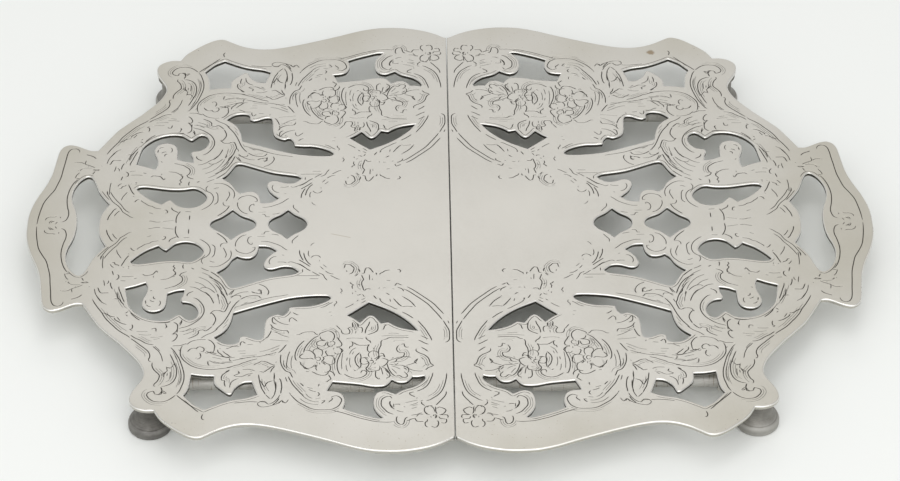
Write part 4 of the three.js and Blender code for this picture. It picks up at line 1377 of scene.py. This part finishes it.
def make_plates():
    """The right half plate, and the same turned half round as the left one."""
    points, faces, marks = plate_form()
    for side, sign in (("left", -1), ("right", 1)):
        turned = [(sign * x, sign * y, z) for x, y, z in points]
        piece = finished(
            f"{side}_half_plate", turned, faces, "silver_plate", f"{side}_half",
            f"{side}_plate", marks)
        soften(piece.data, flat_limit=4, crease=38)


make_plates()

# ---------------------------------------------------------------- turned and drawn pieces


def lathe(profile, sides, axis, centre, ring=False):
    """Points and faces turned round an axis from places and radii along it.

    The ends close at a point on the axis, or the profile closes on itself for a tube.
    """
    points, faces, marks = [], [], []
    rings = []
    for along, radius, mark in profile:
        if radius == 0:
            rings.append([len(points)])
            points.append((along, 0.0, 0.0))
            marks.append(mark)
            continue
        rings.append(list(range(len(points), len(points) + sides)))
        for k in range(sides):
            a = 2 * math.pi * k / sides
            points.append((along, radius * math.cos(a), radius * math.sin(a)))
            marks.append(mark)
    for lower, upper in zip(rings, rings[1:] + rings[:1] if ring else rings[1:]):
        for k in range(sides):
            n = (k + 1) % sides
            if len(lower) == 1:
                faces.append((lower[0], upper[n], upper[k]))
            elif len(upper) == 1:
                faces.append((lower[k], lower[n], upper[0]))
            else:
                faces.append((lower[k], lower[n], upper[n], upper[k]))
    if axis == "Z":
        points = [(y, z, x) for x, y, z in points]
    elif axis == "Y":
        points = [(z, x, y) for x, y, z in points]
    placed = [tuple(a + b for a, b in zip(p, centre)) for p in points]
    return placed, faces, {"edge": marks}


def centre_of(node):
    """The middle of a CAD node, in millimetres."""
    low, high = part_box(node)
    return (low + high) / 2 / MM


# Each quarter's name, the half plate over it and the slide below.
QUARTERS = [(f"{rail}_{side}", f"{side}_half", f"{rail}_slide")
            for rail in ("front", "back") for side in ("left", "right")]

FOOT_SIDES = 96
TURNED_SIDES = 64
SEAT_GAP = 0.02
# Up a foot: height, radius and wear.
FOOT_PROFILE = [
    (0, 0, 0), (0, 6.2, 0), (0.12, 6.9, 0.2), (0.04, 7.5, 0.4), (0.16, 7.86, 0.7), (0.5, 8.12, 1),
    (0.95, 8.2, 1), (1.9, 8.2, 0.6), (2.5, 8.16, 0.8), (3.0, 8.02, 1), (3.45, 7.8, 1),
    (3.85, 7.5, 0.8), (4.02, 7.3, 0), (4.1, 7.12, 0), (4.3, 6.95, 0.5), (4.75, 6.5, 0.2),
    (5.3, 6.0, 0), (6.0, 5.6, 0), (6.9, 5.33, 0), (8.0, 5.2, 0), (9.6, 5.2, 0), (11, 5.27, 0),
    (12.1, 5.5, 0), (12.9, 5.9, 0.2), (13.3, 6.3, 0.6), (13.6, 6.4, 0.8),
]
# The front left foot is painted darkest, as painted shade; the others get only a little grime.
SHADED_FOOT, CLEAN = 0.75, 0.2


def make_feet():
    """Each foot from the floor to a hair below the plate."""
    for spot, half, _ in QUARTERS:
        low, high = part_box(f"{spot}_foot")
        middle = (low + high) / 2 / MM
        height = high.z / MM
        seat = height - SEAT_GAP
        profile = FOOT_PROFILE + [(height - 0.05, 6.4, 0.2), (seat, 6.2, 0), (seat, 0, 0)]
        points, faces, marks = lathe(profile, FOOT_SIDES, "Z", (middle.x, middle.y, 0))
        marks["patina_and_shade"] = [SHADED_FOOT if spot == "front_left" else CLEAN] * len(points)
        piece = finished(
            f"{spot}_turned_foot", points, faces, "turned_foot", half, f"{spot}_foot", marks)
        soften(piece.data, flat_limit=25, crease=50)


make_feet()

# In millimetres: a pin's peened dome, a tube's rounded lip, how far in from its mouth a tube's
# turned line lies, and the bore of sleeves and collars.
PIN_DOME = 0.35
LIP = 0.3
TURNED_LINE = 0.9
BORE = 3.0


def turned_piece(node, name, body, slot, profile, axis, ring=False):
    """A turned piece at its CAD node's middle, from a profile along the axis from that middle."""
    points, faces, marks = lathe(profile, TURNED_SIDES, axis, tuple(centre_of(node)), ring)
    piece = finished(name, points, faces, slot, body, node, marks)
    soften(piece.data, flat_limit=60, crease=40)


def mirrored(profile):
    """A profile from the middle outward, carried on to the other end as well."""
    return [(-along, radius, mark) for along, radius, mark in reversed(profile)] + profile


def rod_profile(reach, radius):
    """A rod with rounded ends."""
    return mirrored([
        (reach - 8, radius, 0), (reach - 0.55, radius, 0.3), (reach - 0.25, radius - 0.08, 1),
        (reach - 0.08, radius - 0.24, 1), (reach, radius - 0.5, 0.4), (reach, 0, 0)])


def tube_profile(reach, radius):
    """A tube's wall, outward and back along the bore, with a turned line at each end."""
    line = reach - TURNED_LINE
    outside = [
        (line - 0.32, radius, 0.3), (line - 0.16, radius - 0.16, 0), (line, radius, 0.3),
        (reach - LIP, radius, 0.6), (reach - 0.09, radius - 0.09, 1), (reach, radius - LIP, 0.6)]
    inner = [(reach, BORE + 0.18, 0.4), (reach - 0.18, BORE, 0)]
    return mirrored(outside) + inner + [(-along, r, m) for along, r, m in reversed(inner)]


def pin_profile(reach, radius):
    """A pin with peened ends."""
    return mirrored([
        (reach - PIN_DOME, radius, 0.4), (reach - 0.16, radius - 0.12, 1),
        (reach - 0.04, radius - 0.34, 0.7), (reach, 0, 0.4)])


def make_slides():
    """Rods, sleeves, stop collars and pins."""
    for rail in ("front", "back"):
        size = (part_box(f"{rail}_rod")[1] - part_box(f"{rail}_rod")[0]) / MM
        turned_piece(f"{rail}_rod", f"{rail}_slide_rod", f"{rail}_slide", "rod_metal",
                     rod_profile(size.x / 2, size.z / 2), "X")
    for spot, half, slide in QUARTERS:
        for kind, body in (("sleeve", half), ("collar", slide)):
            low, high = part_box(f"{spot}_{kind}")
            size = (high - low) / MM
            turned_piece(f"{spot}_{kind}", f"{spot}_turned_{kind}", body, "tube_metal",
                         tube_profile(size.x / 2, size.z / 2), "X", True)
        for kind in ("collar_pin", "stop_pin"):
            low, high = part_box(f"{spot}_{kind}")
            size = (high - low) / MM
            turned_piece(f"{spot}_{kind}", f"{spot}_peened_{kind}", slide, "pin_metal",
                         pin_profile(size.y / 2, size.z / 2), "Y")


make_slides()

# In millimetres: a post's corner rounding, and the radius of the saddle that sits on the sleeve,
# with the widest reach to either side that it still has.
POST_CORNER = 0.55
SADDLE_RADIUS = 3.83
SADDLE_REACH = 3.7
POST_WEAR = 0.3
# Down a post: share of its height and how far the solder spreads past its sides there.
POST_FLARE = [(0, 0.85), (0.03, 0.5), (0.08, 0.2), (0.16, 0.04), (0.3, 0), (0.72, 0), (0.86, 0.06),
              (0.94, 0.22), (1, 0.5)]


def post_outline(wide, deep):
    """A rectangle with rounded corners, from its half width and half depth."""
    outline = []
    for sx, sy, start in ((1, 1, 0), (-1, 1, 90), (-1, -1, 180), (1, -1, 270)):
        for turn in (0, 30, 60, 90):
            a = math.radians(start + turn)
            outline.append((sx * (wide - POST_CORNER) + POST_CORNER * math.cos(a),
                            sy * (deep - POST_CORNER) + POST_CORNER * math.sin(a)))
    return outline


def post_faces(count, rows):
    """Faces round a post's rows of points, and across both of its ends."""
    faces = []
    for k in range(rows - 1):
        for i in range(count):
            n = (i + 1) % count
            faces.append((k * count + n, k * count + i, (k + 1) * count + i, (k + 1) * count + n))
    half = count // 2
    across = [(i, i + 1, half - 2 - i, half - 1 - i) for i in range(half // 2 - 1)]
    across += [tuple(half + k for k in quad) for quad in across]
    across.append((0, half - 1, half, count - 1))
    last = (rows - 1) * count
    faces += across
    faces += [tuple(last + k for k in reversed(quad)) for quad in across]
    return faces


def make_posts():
    """The posts between plates and sleeves, with solder spread at both ends."""
    for spot, half, _ in QUARTERS:
        saddle = centre_of(f"{spot}_sleeve")
        for end in ("inner", "outer"):
            node = f"{spot}_{end}_post"
            low, high = (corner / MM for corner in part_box(node))
            middle, wide, deep = (low + high) / 2, (high.x - low.x) / 2, (high.y - low.y) / 2
            outline = post_outline(wide, deep)
            points = []
            for share, spread in POST_FLARE:
                for x, y in outline:
                    x *= 1 + spread / wide
                    y *= 1 + spread / deep
                    foot = saddle.z + math.sqrt(SADDLE_RADIUS ** 2 - min(abs(y), SADDLE_REACH) ** 2)
                    points.append((middle.x + x, middle.y + y, high.z + (foot - high.z) * share))
            faces = post_faces(len(outline), len(POST_FLARE))
            piece = finished(f"{spot}_{end}_soldered_post", points, faces, "tube_metal", half, node,
                             {"edge": [POST_WEAR] * len(points)})
            soften(piece.data, flat_limit=25, crease=50)


make_posts()

# ---------------------------------------------------------------- floor, lamps and world


FLOOR_REACH = 6.0
FLOOR_COLOUR = (0.87, 0.885, 0.868, 1.0)
WORLD_COLOUR = (1.0, 1.0, 0.99, 1.0)
WORLD_STRENGTH = 0.62
# Place, size, brightness and colour of each lamp. All of them face the trivet.
LAMPS = {
    "overhead_softbox": ((0.05, -0.05, 1.35), (0.8, 0.5), 1.7, (1.0, 0.99, 0.98)),
    "back_softbox": ((0.02, 1.2, 1.25), (0.8, 0.6), 0.82, (1.0, 0.995, 0.98)),
    "front_softbox": ((-0.02, -1.2, 1.05), (3.0, 2.0), 1.07, (1.0, 1.0, 1.0)),
}


def make_floor():
    corners = [(x * FLOOR_REACH, y * FLOOR_REACH, 0.0)
               for x, y in ((-1, -1), (1, -1), (1, 1), (-1, 1))]
    mesh = bpy.data.meshes.new("floor")
    mesh.from_pydata(corners, [], [(0, 1, 2, 3)])
    floor = bpy.data.objects.new("floor", mesh)
    bpy.context.scene.collection.objects.link(floor)
    f = Finish("pale_floor")
    mesh.materials.append(f.surface(
        Base_Color=FLOOR_COLOUR, Roughness=0.9, Specular_IOR_Level=0.1))


def make_lamps():
    for name, (spot, size, brightness, colour) in LAMPS.items():
        light = bpy.data.lights.new(name, "AREA")
        light.shape = "RECTANGLE"
        light.size, light.size_y = size
        light.energy = brightness * math.pi * size[0] * size[1]
        light.color = colour
        holder = bpy.data.objects.new(name, light)
        bpy.context.scene.collection.objects.link(holder)
        holder.location = spot
        holder.rotation_euler = (-Vector(spot)).to_track_quat("-Z", "Y").to_euler()


def make_world():
    world = bpy.data.worlds.new("studio")
    bpy.context.scene.world = world
    world.use_nodes = True
    tree = world.node_tree
    tree.nodes.clear()
    shade = tree.nodes.new("ShaderNodeBackground")
    shade.inputs["Color"].default_value = WORLD_COLOUR
    shade.inputs["Strength"].default_value = WORLD_STRENGTH
    out = tree.nodes.new("ShaderNodeOutputWorld")
    tree.links.new(shade.outputs[0], out.inputs[0])


make_floor()
make_world()
make_lamps()

bpy.context.scene.view_settings.view_transform = "Standard"
